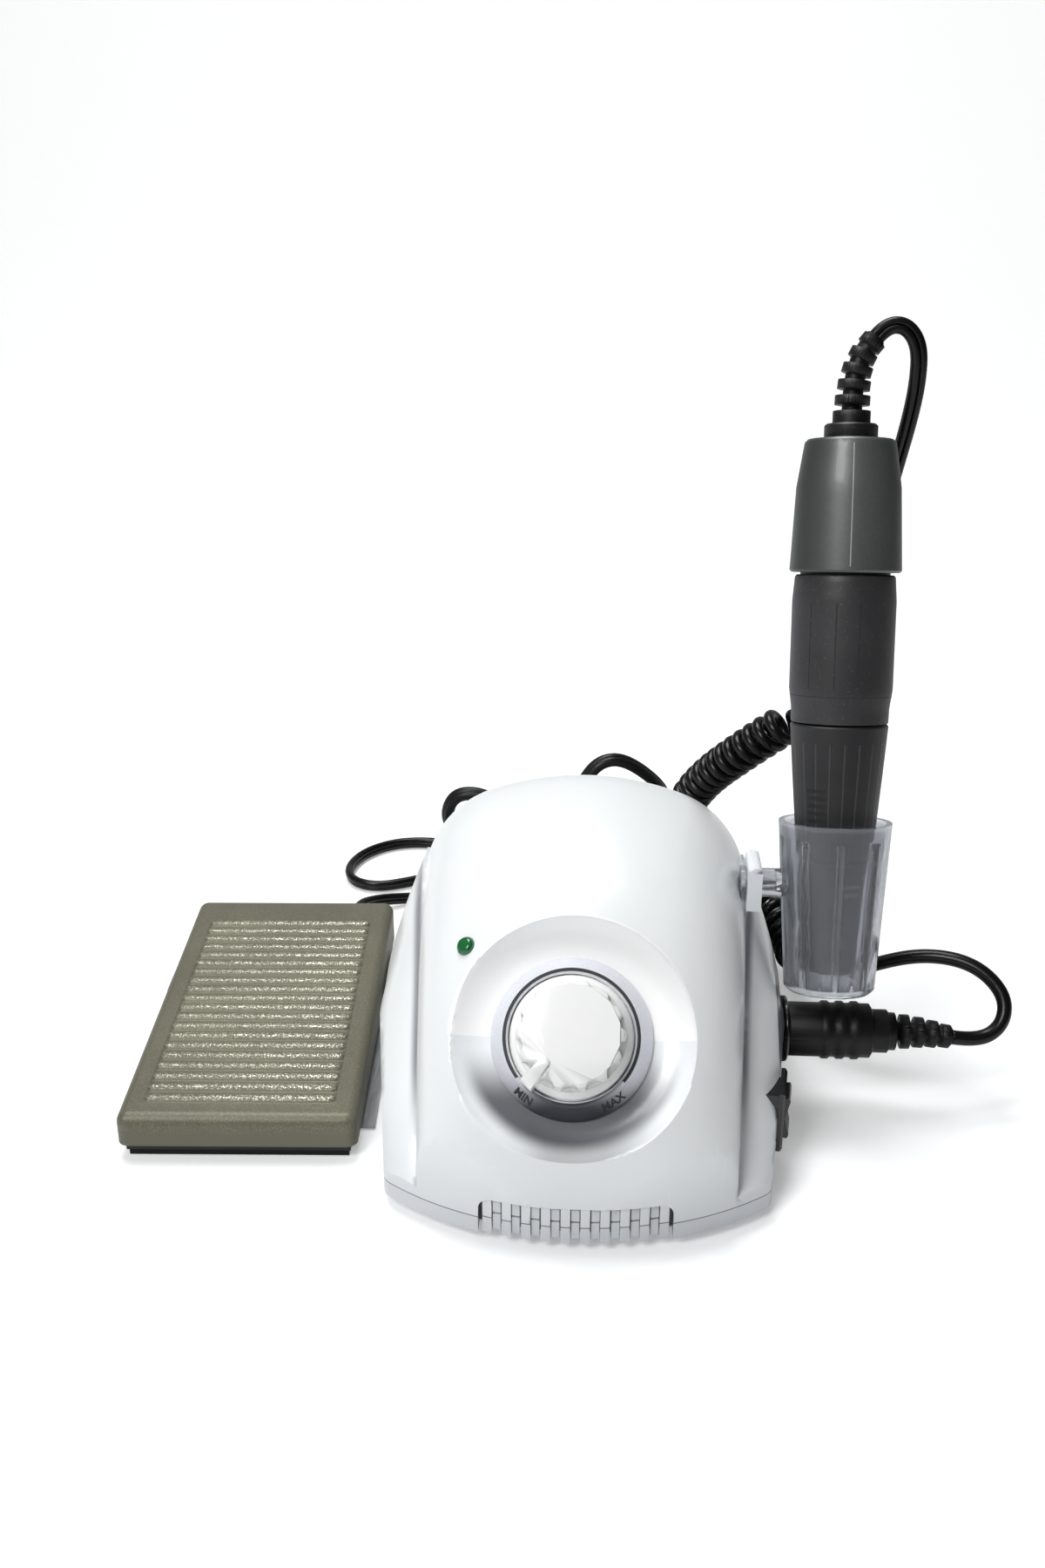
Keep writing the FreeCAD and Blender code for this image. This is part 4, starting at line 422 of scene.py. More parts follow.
def base_steel():
    """Zinc plated pedal base, bare on its flanges and near black on the plate between them."""
    g = Graph("base_steel")
    x, y, z = on_frame(g, PEDAL_CORNER, (0, 0, -PEDAL_YAW))
    streaks = g.noise(1400, 3, 0.6, g.moved(scale=(1, 0.05, 1)))
    bare = x.size().above(0.0312)
    tint = g.mixed(streaks.smooth(0.3, 0.7), paint(168, 170, 172), paint(196, 198, 200))
    tint = g.mixed(bare, paint(26, 26, 27), tint)
    g.set(Base_Color=tint, Roughness=0.34 + streaks * 0.14, Metallic=bare * 0.85)
    g.bump(streaks, 0.00001)
    return g.material


def satin_metal(name, colour, roughness):
    """Turned or rolled metal with fine streaks that run one way."""
    g = Graph(name)
    streaks = g.noise(2400, 3, 0.6, g.moved(scale=(1.0, 1.0, 0.06)))
    clouds = g.noise(60, 3)
    tint = g.mixed(clouds.smooth(0.3, 0.7), shade(colour, 0.94), shade(colour, 1.05))
    g.set(Base_Color=tint, Roughness=roughness + streaks * 0.14 - 0.05 + clouds * 0.04, Metallic=1.0)
    g.bump(streaks, 0.000008)
    return g.material


def rubbery(name, colour, roughness=0.62, scuff=0.25):
    """Rubber and soft plastic: matt grain, pale scuffs where it is handled."""
    g = Graph(name)
    fine = g.noise(3200, 3, 0.7)
    rubbed = g.noise(120, 5, 0.75).smooth(0.58, 0.78)
    tint = g.mixed(rubbed * scuff, colour, paint(62, 62, 64))
    g.set(Base_Color=tint, Roughness=roughness - rubbed * 0.12 + fine * 0.1)
    g.shader.inputs["Specular IOR Level"].default_value = 0.35
    g.bump(fine, 0.00002)
    return g.material


def cord_jacket(name, colour=(0.004, 0.004, 0.0044, 1.0), roughness=0.2):
    """Glossy black jacket with small bends in its sheen and a little dust."""
    g = Graph(name)
    waves = g.noise(240, 2)
    dust = g.noise(1900, 3, 0.7).smooth(0.62, 0.78)
    tint = g.mixed(dust * 0.08, colour, paint(96, 96, 98))
    g.set(Base_Color=tint, Roughness=roughness + waves * 0.12 + dust * 0.15)
    g.shader.inputs["Specular IOR Level"].default_value = 0.3
    g.bump(waves, 0.00004)
    return g.material


def hammered_paint():
    """Olive grey metallic paint with a sandy texture and pale flecks; on the ribs' crowns the flecks are
    brighter, partly rubbed paint and partly painted highlight that grows stronger towards the right.
    """
    g = Graph("hammered_paint")
    x, y, z = on_frame(g, PEDAL_CORNER, (0, 0, -PEDAL_YAW))
    sand = g.noise(1300, 3, 0.65)
    clouds = g.noise(30, 3)
    crown = (z - 0.014 - y * (4.0 / 122.3)).smooth(0.0004, 0.0010)
    fleck = g.noise(2300, 2).smooth(0.50, 0.64)
    rightward_highlight = x.smooth(-0.040, 0.030)
    base = g.mixed(clouds.smooth(0.3, 0.7), paint(103, 102, 86), paint(113, 112, 94))
    base = g.mixed(sand.smooth(0.55, 0.3) * 0.3, base, paint(82, 81, 66))
    # painted highlight: pale flecks on the ribs' crowns, stronger towards the right
    base = g.mixed(fleck * (0.07 + crown * (0.30 + rightward_highlight * 0.65)), base, paint(244, 242, 222))
    base = g.mixed(z.smooth(0.0105, 0.0075), base, paint(106, 104, 90))
    g.set(Base_Color=base, Metallic=0.35, Roughness=0.44 - fleck * crown * 0.16 + sand * 0.1)
    g.bump(sand * (0.25 + crown), 0.00008)
    return g.material


def frosted_clear():
    """Clear moulded plastic, a little frosted, with faint scratches; its ribs and rim are painted pale as
    highlights.
    """
    g = Graph("frosted_clear")
    x, y, z = on_frame(g, HAND_RIM, (HAND_LEAN, 0, 0))
    rib_highlight = ((x.angle_from(0 - y) * (CUP_RIBS / (2 * math.pi)) + 0.5).fraction() - 0.5).size().below(0.042)
    rib_highlight = rib_highlight * z.below(-CUP_RIM - 0.005) * z.above(0.002 - CUP_END)
    low = (z + CUP_END).smooth(0.012, 0.002)
    haze = g.noise(60, 4)
    scratch = g.noise(900, 2, 0.5, g.moved(scale=(1, 1, 0.1))).smooth(0.6, 0.75)
    tint = g.mixed(haze, paint(186, 189, 195), paint(200, 203, 208))
    # painted highlight: the ribs are painted near white, most towards the cup's end
    tint = g.mixed(rib_highlight * (0.45 + low * 0.5), tint, paint(252, 253, 255))
    # painted highlight: a pale band at the rim
    tint = g.mixed((z + CUP_RIM).smooth(-0.0016, -0.0004), tint, paint(226, 229, 233))
    g.set(Base_Color=tint, Roughness=0.06 + haze * 0.1 + scratch * 0.12 + rib_highlight * 0.2)
    g.shader.inputs["Transmission Weight"].default_value = 0.88
    g.shader.inputs["IOR"].default_value = 1.36
    g.bump(haze + scratch * 0.3, 0.00005)
    return g.material


def lamp_lens():
    """Green lens with a soft mottle and a faint glow of its own."""
    g = Graph("lamp_lens")
    mottle = g.noise(700, 1)
    g.set(Base_Color=g.mixed(mottle, paint(6, 92, 44), paint(20, 128, 64)), Roughness=0.12 + mottle * 0.08)
    g.shader.inputs["Transmission Weight"].default_value = 0.35
    g.shader.inputs["Coat Weight"].default_value = 0.6
    g.shader.inputs["Emission Color"].default_value = paint(20, 150, 70)
    g.shader.inputs["Emission Strength"].default_value = 0.05
    return g.material


def board_green():
    """Circuit board: solder mask with copper tracks showing through."""
    g = Graph("board_green")
    x, y = g.parts(g.place)[:2]
    tracks = (x * 260).fraction().above(0.72).most((y * 210).fraction().above(0.8))
    tracks = tracks * g.noise(70, 1).above(0.5)
    g.set(Base_Color=g.mixed(tracks, paint(14, 84, 40), paint(36, 122, 62)), Roughness=0.4 - tracks * 0.1)
    g.bump(tracks, 0.00003)
    return g.material


def laminations():
    """Stacked iron sheets."""
    g = Graph("laminations")
    sheets = (g.parts(g.place)[1] * 1600).fraction().above(0.5)
    rust = g.noise(140, 4).smooth(0.5, 0.75)
    tint = g.mixed(sheets, paint(72, 72, 76), paint(104, 104, 108))
    tint = g.mixed(rust * 0.4, tint, paint(112, 84, 64))
    g.set(Base_Color=tint, Metallic=0.7, Roughness=0.5 + rust * 0.2)
    g.bump(sheets, 0.00008)
    return g.material


def taped_winding():
    """Yellow tape lapped round the winding."""
    g = Graph("taped_winding")
    x, y, z = g.parts(g.place)
    laps = (z * 240 + x * 30).fraction()
    tint = g.mixed(laps.above(0.9), paint(214, 176, 62), paint(176, 138, 40))
    g.set(Base_Color=tint, Roughness=0.35 + laps * 0.2)
    g.bump(laps, 0.0001)
    return g.material


finish = {
    # the second colour of each pearl finish is painted shade for its lower part
    "case": pearl_case("pearl_case", paint(240, 243, 244), paint(216, 219, 223)),
    "tray": pearl_case("pearl_tray", paint(222, 225, 229), paint(208, 211, 216)),
    "screen": moulded("screen_grey", paint(104, 107, 112), 0.6),
    "louvre": moulded("louvre_grey", paint(206, 209, 213), 0.45),
    "knob": moulded("knob_white", paint(246, 247, 246), 0.28, coat=0.4, cloud=0.012),
    "bezel": bezel_silver(),
    "print": moulded("print_black", paint(40, 41, 46), 0.5),
    "black": moulded("black_plastic", paint(20, 20, 22), 0.42, dust=0.06),
    "gloss black": moulded("gloss_black", paint(14, 14, 16), 0.24, coat=0.3, dust=0.04),
    "rubber": rubbery("black_rubber", paint(20, 20, 21)),
    "boot": rubbery("boot_rubber", paint(8, 8, 10), 0.40, 0.06),
    "steel": satin_metal("steel", paint(196, 198, 202), 0.28),
    "cap": cap_finish(), "body": body_finish(), "sleeve": sleeve_finish(), "nose": nose_finish(),
    "clear": frosted_clear(),
    "clip": moulded("pale_clip", paint(232, 235, 240), 0.28, coat=0.3),
    "lens": lamp_lens(),
    "board": board_green(),
    "sink": satin_metal("heat_sink_metal", paint(176, 178, 180), 0.4),
    "iron": laminations(),
    "winding": taped_winding(),
    "brass": satin_metal("brass", paint(206, 170, 92), 0.3),
    "olive": hammered_paint(), "base": base_steel(),
    "cord": cord_jacket("cord_black"),
    "thick cord": cord_jacket("mains_black", (0.008, 0.008, 0.0085, 1.0), 0.3),
    "carbon": moulded("carbon", paint(40, 40, 42), 0.7)}

FINISH_OF = {
    "case": ["top_cover"], "tray": ["base_tray"], "screen": ["vent_screen"], "knob": ["speed_knob"],
    "bezel": ["dial_bezel"],
    "gloss black": [
        "direction_switch", "direction_rocker", "power_switch", "power_rocker", "handpiece_socket"],
    "black": [
        "capacitors", "power_transistor", "fuse_holder", "pedal_jack", "mains_gland", "tail_collar",
        "end_bell", "pedal_switch", "pedal_gland", "cord_tie"],
    "rubber": ["rubber_feet", "pedal_pad", "pedal_plug", "mains_plug"],
    "boot": ["cord_relief", "handpiece_plug"],
    "steel": [
        "case_screws", "dial_shaft", "potentiometer", "dial_nut", "rear_bearing", "front_bearing",
        "spindle", "collet", "hinge_pin", "pedal_springs"],
    "cap": ["tail_cap"], "body": ["motor_housing"], "sleeve": ["chuck_sleeve"], "nose": ["nose_cone"],
    "clear": ["holder_cup"], "clip": ["holder_clip"], "lens": ["power_lamp"], "board": ["circuit_board"],
    "sink": ["heat_sink"], "iron": ["transformer_core", "rotor", "motor_magnets"],
    "winding": ["transformer_winding"],
    "brass": ["commutator"], "carbon": ["brushes"], "olive": ["treadle"], "base": ["pedal_base"],
    "cord": ["handpiece_cord_upper", "handpiece_cord_curl", "handpiece_cord_lower", "pedal_cord"],
    "thick cord": ["mains_cord", "mains_coil"]}

for look, names in FINISH_OF.items():
    for name in names:
        slots = nodes[name].data.materials
        slots.clear()
        slots.append(finish[look])


# Cords

UPPER_ROUTE = [
    (74.6, 114.04, 211.57), (77.25, 114.91, 214.72), (82.4, 114.4, 214.8), (86.2, 113.8, 209.6),
    (86.7, 114.4, 200.0), (85.9, 116.8, 189.5), (84.6, 121.5, 177.5), (83.2, 126.4, 164.5),
    (82.2, 129.6, 150.5), (82.1, 130.9, 137.0), (82.8, 130.8, 121.5), (83.0, 130.3, 105.7),
    (79.6, 130.1, 99.9), (73.8, 130.0, 96.5), (67.65, 130.0, 96.5)]
CURL_SPINE = [
    (67.6, 130.0, 96.5), (63.6, 129.8, 98.0), (57.0, 132.4, 92.8), (46.8, 139.4, 81.8), (38.6, 149.8, 70.0),
    (32.6, 158.2, 57.5), (31.5, 164.5, 43.5), (41.0, 166.5, 31.5), (57.0, 161.5, 23.5), (68.0, 138.0, 19.0),
    (68.0, 114.0, 19.0)]
LOWER_ROUTE = [
    (68.0, 114.0, 19.0), (68.0, 106.0, 19.0), (74.4, 99.5, 24.4), (87.0, 96.2, 33.0),
    (101.0, 92.6, 38.6), (114.0, 87.5, 38.6), (122.0, 81.0, 32.6), (121.4, 76.0, 25.4),
    (114.25, 73.28, 21.08), (105.8, 72.9, 22.6)]
PEDAL_ROUTE = [
    (-81.19, 163.94, 7.2), (-81.6, 173.9, 7.2), (-76.0, 184.0, 4.6), (-66.0, 190.0, 2.6), (-54.0, 192.0, 2.2),
    (-43.0, 196.5, 2.2), (-37.5, 205.0, 2.2), (-42.0, 213.0, 2.2), (-53.0, 212.0, 2.2),
    (-66.0, 204.0, 2.2), (-78.0, 199.0, 2.2), (-88.0, 203.5, 2.2), (-91.0, 215.0, 2.2),
    (-86.0, 229.0, 2.2), (-74.0, 238.5, 2.2), (-58.0, 239.0, 2.2), (-42.0, 233.0, 2.2),
    (-30.0, 222.0, 2.2), (-25.0, 208.0, 2.4), (-26.0, 196.0, 5.4), (-29.0, 187.0, 10.6),
    (-30.0, 178.0, 14.0), (-30.0, 169.0, 14.0)]
MAINS_ROUTE = [
    (4.0, 158.0, 22.0), (4.0, 165.0, 22.0), (10.6, 171.5, 31.0), (21.5, 174.5, 41.0),
    (29.0, 173.5, 52.5), (13.5, 165.0, 69.2), (3.5, 162.6, 69.6), (-3.0, 161.5, 59.5),
    (-11.5, 162.0, 50.0), (-24.0, 163.0, 47.5), (-34.0, 164.0, 56.0), (-45.0, 164.6, 55.8),
    (-48.5, 166.0, 45.0), (-40.5, 169.4, 33.5), (-27.0, 172.6, 26.0), (-12.0, 174.0, 15.5),
    (3.0, 171.0, 6.0), (16.0, 168.0, 2.7), (25.2, 168.0, 2.7)]
PLAIN_RADIUS, CURL_CORD_RADIUS, CURL_RADIUS = 2.1, 1.7, 4.9
PEDAL_CORD_RADIUS, MAINS_RADIUS = 1.9, 2.4
COIL_CENTRE, COIL_RADIUS, COIL_PITCH, COIL_TURNS = (30.0, 197.0), 29.0, 5.4, 3
COIL_LAYER_GAP = 0.6
CLOSE_PITCH, OPEN_PITCH, WIDEST_PITCH = 0.0041, 0.0048, 1 / 0.62
STEPS_PER_TURN = 16
# Width and thickness of the flat leads, in metres
UPPER_FLAT, PEDAL_FLAT, MAINS_FLAT = (0.0046, 0.0030), (0.0042, 0.0030), (0.0048, 0.0036)


def spline_curve(name, points, depth=0.0, resolution=12):
    """A smooth curve with the route's points as its control points, in metres."""
    curve = bpy.data.curves.new(name, "CURVE")
    curve.dimensions = "3D"
    spline = curve.splines.new("NURBS")
    spline.points.add(len(points) - 1)
    for knot, point in zip(spline.points, points):
        knot.co = (*point, 1)
    spline.order_u = 3
    spline.use_endpoint_u = True
    curve.resolution_u = resolution
    curve.bevel_depth = depth
    curve.bevel_resolution = 5
    curve.use_fill_caps = True
    thing = bpy.data.objects.new(name, curve)
    bpy.context.collection.objects.link(thing)
    return thing


def route_line(points, resolution=24):
    """Points along the smooth curve of a route."""
    guide = spline_curve("guide", points, 0.0, resolution)
    bpy.context.view_layer.update()
    mesh = bpy.data.meshes.new_from_object(guide.evaluated_get(bpy.context.evaluated_depsgraph_get()))
    line = [v.co.copy() for v in mesh.vertices]
    bpy.data.objects.remove(guide)
    bpy.data.meshes.remove(mesh)
    return line


def carried(line, normal):
    """For each point its direction, and a normal and side that turn with it."""
    frames = []
    for i, place in enumerate(line):
        along = (line[min(i + 1, len(line) - 1)] - line[max(i - 1, 0)]).normalized()
        normal = (normal - along * normal.dot(along)).normalized()
        frames.append((place, along, normal, along.cross(normal)))
    return frames


def swept(name, line, section, look, normal=Vector((0, 0, 1))):
    """Closed tube of a flat section, given as (side, normal) pairs, along a line."""
    mesh = bpy.data.meshes.new(name)
    build = bmesh.new()
    rings = []
    for place, along, up, side in carried(line, normal):
        rings.append([build.verts.new(place + side * a + up * b) for a, b in section])
    count = len(section)
    for low, high in zip(rings, rings[1:]):
        for i in range(count):
            face = build.faces.new((low[i], low[(i + 1) % count], high[(i + 1) % count], high[i]))
            face.smooth = True
    build.faces.new(list(reversed(rings[0])))
    build.faces.new(rings[-1])
    bmesh.ops.recalc_face_normals(build, faces=build.faces)
    build.to_mesh(mesh)
    build.free()
    mesh.materials.append(finish[look])
    thing = bpy.data.objects.new(name, mesh)
    bpy.context.collection.objects.link(thing)
    return thing


def round_section(radius, sides):
    turns = [2 * math.pi * i / sides for i in range(sides)]
    return [(radius * math.cos(a), radius * math.sin(a)) for a in turns]


def twin_section(width, thick):
    """Two round strands side by side with a shallow web between them."""
    reach = width / 2 - thick / 2
    turns = [math.radians(d) for d in range(-125, 126, 25)]
    right = [(reach + thick / 2 * math.cos(a), thick / 2 * math.sin(a)) for a in turns]
    left = [(-a, -b) for a, b in right]
    return right + left


def curl_helix():
    """The curly stretch: turns close on the shown side, wider in bends and towards the plug."""
    spine = route_line([at(*p) for p in CURL_SPINE])
    frames = carried(spine, Vector((0, 0, 1)))
    marks = [0.0]
    for a, b in zip(spine, spine[1:]):
        marks.append(marks[-1] + (b - a).length)
    total, lead = marks[-1], 3 * CURL_CORD_RADIUS / 1000
    span = total - 2 * lead

    def on_spine(s):
        i = 0
        while i < len(marks) - 2 and marks[i + 1] < s:
            i += 1
        share = min(1.0, max(0.0, (s - marks[i]) / (marks[i + 1] - marks[i])))
        return [a.lerp(b, share) for a, b in zip(frames[i], frames[i + 1])]

    places, turn, s = [], 0.0, lead
    while s < lead + span:
        look = 0.0025
        before, here, after = (on_spine(s + step)[0] for step in (-look, 0.0, look))
        bend = (after - here).angle(here - before) / look
        pitch = CLOSE_PITCH if s < lead + 0.45 * span else OPEN_PITCH
        pitch /= max(1 / WIDEST_PITCH, 1 - CURL_RADIUS / 1000 * bend)
        places.append((turn, s))
        s += pitch / STEPS_PER_TURN
        turn += 1 / STEPS_PER_TURN
    turns = math.floor(turn)
    line = [spine[0], spine[0].lerp(on_spine(lead)[0], 0.5)]
    for turn, s in places[:turns * STEPS_PER_TURN]:
        place, along, up, side = on_spine(s)
        ramp = min(1.0, turn / 0.5, (turns - turn) / 0.75)
        reach = CURL_RADIUS / 1000 * (0.35 + 0.65 * ramp)
        angle = 2 * math.pi * turn
        across = up.normalized() * math.cos(angle) + side.normalized() * math.sin(angle)
        line.append(place + across * reach)
    return line + [spine[-1].lerp(on_spine(total - lead)[0], 0.4), spine[-1]]


def coil_points():
    """Loops of the put-away mains lead: inward on the table, a climb, outward above."""
    low = MAINS_ROUTE[-1][2]
    climb = 2 * MAINS_RADIUS + COIL_LAYER_GAP
    inner = COIL_RADIUS - COIL_PITCH * COIL_TURNS
    places = []
    steps = int((2 * COIL_TURNS + 0.5) * STEPS_PER_TURN)
    for i in range(1, steps + 1):
        turn = i / STEPS_PER_TURN
        rise = 0.0 if turn < COIL_TURNS else climb
        if COIL_TURNS <= turn < COIL_TURNS + 0.5:
            rise = climb * (1 - math.cos(2 * math.pi * (turn - COIL_TURNS))) / 2
        reach = inner + COIL_PITCH * (abs(turn - COIL_TURNS - 0.25) - 0.25)
        angle = 2 * math.pi * turn - math.pi / 2
        x = COIL_CENTRE[0] + reach * math.cos(angle)
        y = COIL_CENTRE[1] + reach * math.sin(angle)
        places.append((x, y, low + rise))
    last = places[-1]
    return places + [(last[0] - 3.6, last[1], last[2]), (last[0] - 7.2, last[1], last[2])]


def cords():
    toward_eye = (bpy.context.scene.camera.location - at(80, 120, 180)).normalized()
    upper = route_line([at(*p) for p in UPPER_ROUTE], 16)
    tail = swept("handpiece_lead", upper, twin_section(*UPPER_FLAT), "cord", toward_eye)
    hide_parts("handpiece_cord_upper")
    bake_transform(tail)

    curl = curl_helix()
    line = route_line(curl, 3)
    coils = swept("curly_cord", line, round_section(CURL_CORD_RADIUS / 1000, 12), "cord")
    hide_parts("handpiece_cord_curl")
    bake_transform(coils)

    lower = route_line([at(*p) for p in LOWER_ROUTE], 16)
    lead = swept("plug_lead", lower, round_section(PLAIN_RADIUS / 1000, 16), "cord")
    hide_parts("handpiece_cord_lower")
    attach(lead, "console")

    line = route_line([at(*p) for p in PEDAL_ROUTE], 10)
    pedal = swept("pedal_lead", line, twin_section(*PEDAL_FLAT), "cord", Vector((-1, 0, 0)))
    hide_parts("pedal_cord")
    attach(pedal, "console")

    line = route_line([at(*p) for p in MAINS_ROUTE + coil_points()], 8)
    mains = swept("mains_lead", line, twin_section(*MAINS_FLAT), "thick cord", Vector((-1, 0, 1)))
    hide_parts("mains_cord", "mains_coil")
    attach(mains, "console")


cords()


# Smooth skins and small parts of the pieces that show

def softened(name, angle=30):
    """A merged copy of a drawn piece, shaded smoothly over its gentle edges, in that piece's place."""
    build = bmesh.new()
    build.from_mesh(nodes[name].data)
    bmesh.ops.remove_doubles(build, verts=build.verts, dist=0.000004)
    mesh = bpy.data.meshes.new(name + "_skin")
    build.to_mesh(mesh)
    build.free()
    mesh.materials.clear()
    mesh.materials.append(nodes[name].data.materials[0])
    mesh.shade_smooth()
    mesh.set_sharp_from_angle(angle=math.radians(angle))
    thing = bpy.data.objects.new(name + "_skin", mesh)
    bpy.context.collection.objects.link(thing)
    weights = thing.modifiers.new("even_shade", "WEIGHTED_NORMAL")
    weights.keep_sharp = True
    weights.weight = 80
    return settled(thing, name)


def settled(thing, *replaced):
    """The piece with its modifiers turned into a plain mesh, riding on the body of what it stands for."""
    bpy.context.view_layer.update()
    graph = bpy.context.evaluated_depsgraph_get()
    mesh = bpy.data.meshes.new_from_object(
        thing.evaluated_get(graph), preserve_all_data_layers=True, depsgraph=graph)
    thing.modifiers.clear()
    old = thing.data
    thing.data = mesh
    bpy.data.meshes.remove(old)
    if replaced:
        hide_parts(*replaced)
        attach(thing, BODY_OF[replaced[0]])
    return thing


SOFT_SKINS = {
    "top_cover": 24, "base_tray": 24, "dial_bezel": 30, "speed_knob": 34, "tail_cap": 22, "tail_collar": 30,
    "motor_housing": 22, "chuck_sleeve": 22, "nose_cone": 26, "cord_relief": 34, "holder_cup": 34,
    "holder_clip": 30, "treadle": 34, "handpiece_plug": 34, "handpiece_socket": 30, "power_lamp": 40,
    "mains_plug": 34, "pedal_plug": 34}


def skins():
    for name, angle in SOFT_SKINS.items():
        softened(name, angle)


def springs():
    """The pedal's return springs, shaded smoothly; how far they would shorten as the treadle comes down is
    worked out but not applied.
    """
    low, high = (Vector(c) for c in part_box("pedal_springs"))
    travel = math.tan(math.radians(TREADLE_TRAVEL)) * abs(joint_at["treadle_press"][1] - low.y)
    coils = softened("pedal_springs", 40)
    keep = max(0.2, 1 - travel / (high.z - low.z))
    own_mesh(coils)


def dial_spot(x, y, z):
    """A point in the dial's own frame, with z along its shaft."""
    lean = Matrix.Rotation(math.radians(90 - DIAL_ELEVATION), 3, "X")
    return at(*(lean @ Vector((x, y, z)) + DIAL_CENTRE))


def printed(name, mesh, look, body):
    build = bmesh.new()
    build.from_mesh(mesh)
    bmesh.ops.remove_doubles(build, verts=build.verts, dist=0.0000005)
    bmesh.ops.recalc_face_normals(build, faces=build.faces)
    build.to_mesh(mesh)
    build.free()
    mesh.materials.clear()
    mesh.materials.append(finish[look])
    thing = bpy.data.objects.new(name, mesh)
    bpy.context.collection.objects.link(thing)
    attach(thing, body)
    return thing


RING_TURNS, RING_STEPS = (-39.0, 218.0), 96
RING_RADII, RING_HEIGHTS = (16.65, 17.5), (4.16, 4.24)


def dial_ring():
    """Dark line printed round the bezel's top, open at the bottom between the two words."""
    (first, last), steps = RING_TURNS, RING_STEPS
    (inner, outer), (under, over) = RING_RADII, RING_HEIGHTS
    section = [(inner, under), (outer, under), (outer, over), (inner, over)]
    build = bmesh.new()
    rings = []
    for i in range(steps + 1):
        a = math.radians(first + (last - first) * i / steps)
        rings.append([build.verts.new(dial_spot(r * math.cos(a), r * math.sin(a), z)) for r, z in section])
    for low, high in zip(rings, rings[1:]):
        for i in range(4):
            build.faces.new((low[i], low[(i + 1) % 4], high[(i + 1) % 4], high[i]))
    build.faces.new(rings[0])
    build.faces.new(list(reversed(rings[-1])))
    mesh = bpy.data.meshes.new("dial_ring")
    build.to_mesh(mesh)
    build.free()
    printed("dial_ring", mesh, "print", "console")


WORD_RADIUS, WORD_HEIGHT, WORD_BEND = 19.1, 2.1, 18.6
WORD_PROUD, WORD_SUNK = 0.05, -0.08
BEZEL_SLOPE = Vector((-3.0, 4.2)).normalized()


def dial_word(word, turn, width, height):
    """A word printed on the bezel's slope, its letters upright towards the shaft and bent round it."""
    text = bpy.data.curves.new("dial_" + word.lower(), "FONT")
    text.body = word
    text.extrude = 0.1
    text.offset = 0.03
    text.resolution_u = 3
    holder = bpy.data.objects.new("letters", text)
    bpy.context.collection.objects.link(holder)
    bpy.context.view_layer.update()
    mesh = bpy.data.meshes.new_from_object(holder.evaluated_get(bpy.context.evaluated_depsgraph_get()))
    bpy.data.objects.remove(holder)
    xs, ys = [v.co.x for v in mesh.vertices], [v.co.y for v in mesh.vertices]
    for v in mesh.vertices:
        across = ((v.co.x - min(xs)) / (max(xs) - min(xs)) - 0.5) * width
        up = ((v.co.y - min(ys)) / (max(ys) - min(ys)) - 0.5) * height
        lift = WORD_PROUD if v.co.z > 0 else WORD_SUNK
        radius = WORD_RADIUS + BEZEL_SLOPE.x * up + BEZEL_SLOPE.y * lift
        z = WORD_HEIGHT + BEZEL_SLOPE.y * up - BEZEL_SLOPE.x * lift
        a = math.radians(turn) + across / WORD_BEND
        v.co = dial_spot(radius * math.cos(a), radius * math.sin(a), z)
    printed("dial_" + word.lower(), mesh, "print", "console")


def louvre_tree():
    """Blocks set side by side along the bow of the front, each turned to face outwards."""
    tree = bpy.data.node_groups.new("louvres", "GeometryNodeTree")
    sockets = {}
    for label, kind in (
            ("Louvre", "NodeSocketObject"), ("Count", "NodeSocketInt"), ("Bow radius", "NodeSocketFloat"),
            ("Sweep", "NodeSocketFloat"), ("Place", "NodeSocketVector"), ("Finish", "NodeSocketMaterial")):
        sockets[label] = tree.interface.new_socket(label, in_out="INPUT", socket_type=kind).identifier
    tree.interface.new_socket("Geometry", in_out="OUTPUT", socket_type="NodeSocketGeometry")
    kinds = {
        "in": "NodeGroupInput", "out": "NodeGroupOutput", "arc": "GeometryNodeCurveArc",
        "unit": "GeometryNodeObjectInfo", "put": "GeometryNodeInstanceOnPoints",
        "way": "GeometryNodeInputTangent", "turn": "FunctionNodeAlignRotationToVector",
        "real": "GeometryNodeRealizeInstances", "move": "GeometryNodeTransform",
        "skin": "GeometryNodeSetMaterial", "half": "ShaderNodeMath"}
    n = {key: tree.nodes.new(kind) for key, kind in kinds.items()}
    n["turn"].axis = "X"
    n["half"].operation = "MULTIPLY_ADD"
    n["half"].inputs[1].default_value = -0.5
    n["half"].inputs[2].default_value = -math.pi / 2
    start = n["in"].outputs
    for source, target in (
            (start["Count"], n["arc"].inputs["Resolution"]), (start["Bow radius"], n["arc"].inputs["Radius"]),
            (start["Sweep"], n["half"].inputs[0]), (n["half"].outputs[0], n["arc"].inputs["Start Angle"]),
            (start["Sweep"], n["arc"].inputs["Sweep Angle"]), (start["Louvre"], n["unit"].inputs["Object"]),
            (n["arc"].outputs["Curve"], n["put"].inputs["Points"]),
            (n["unit"].outputs["Geometry"], n["put"].inputs["Instance"]),
            (n["way"].outputs[0], n["turn"].inputs["Vector"]),
            (n["turn"].outputs[0], n["put"].inputs["Rotation"]),
            (n["put"].outputs["Instances"], n["move"].inputs["Geometry"]),
            (start["Place"], n["move"].inputs["Translation"]),
            (n["move"].outputs["Geometry"], n["real"].inputs["Geometry"]),
            (n["real"].outputs["Geometry"], n["skin"].inputs["Geometry"]),
            (start["Finish"], n["skin"].inputs["Material"]),
            (n["skin"].outputs["Geometry"], n["out"].inputs["Geometry"])):
        tree.links.new(source, target)
    return tree, sockets


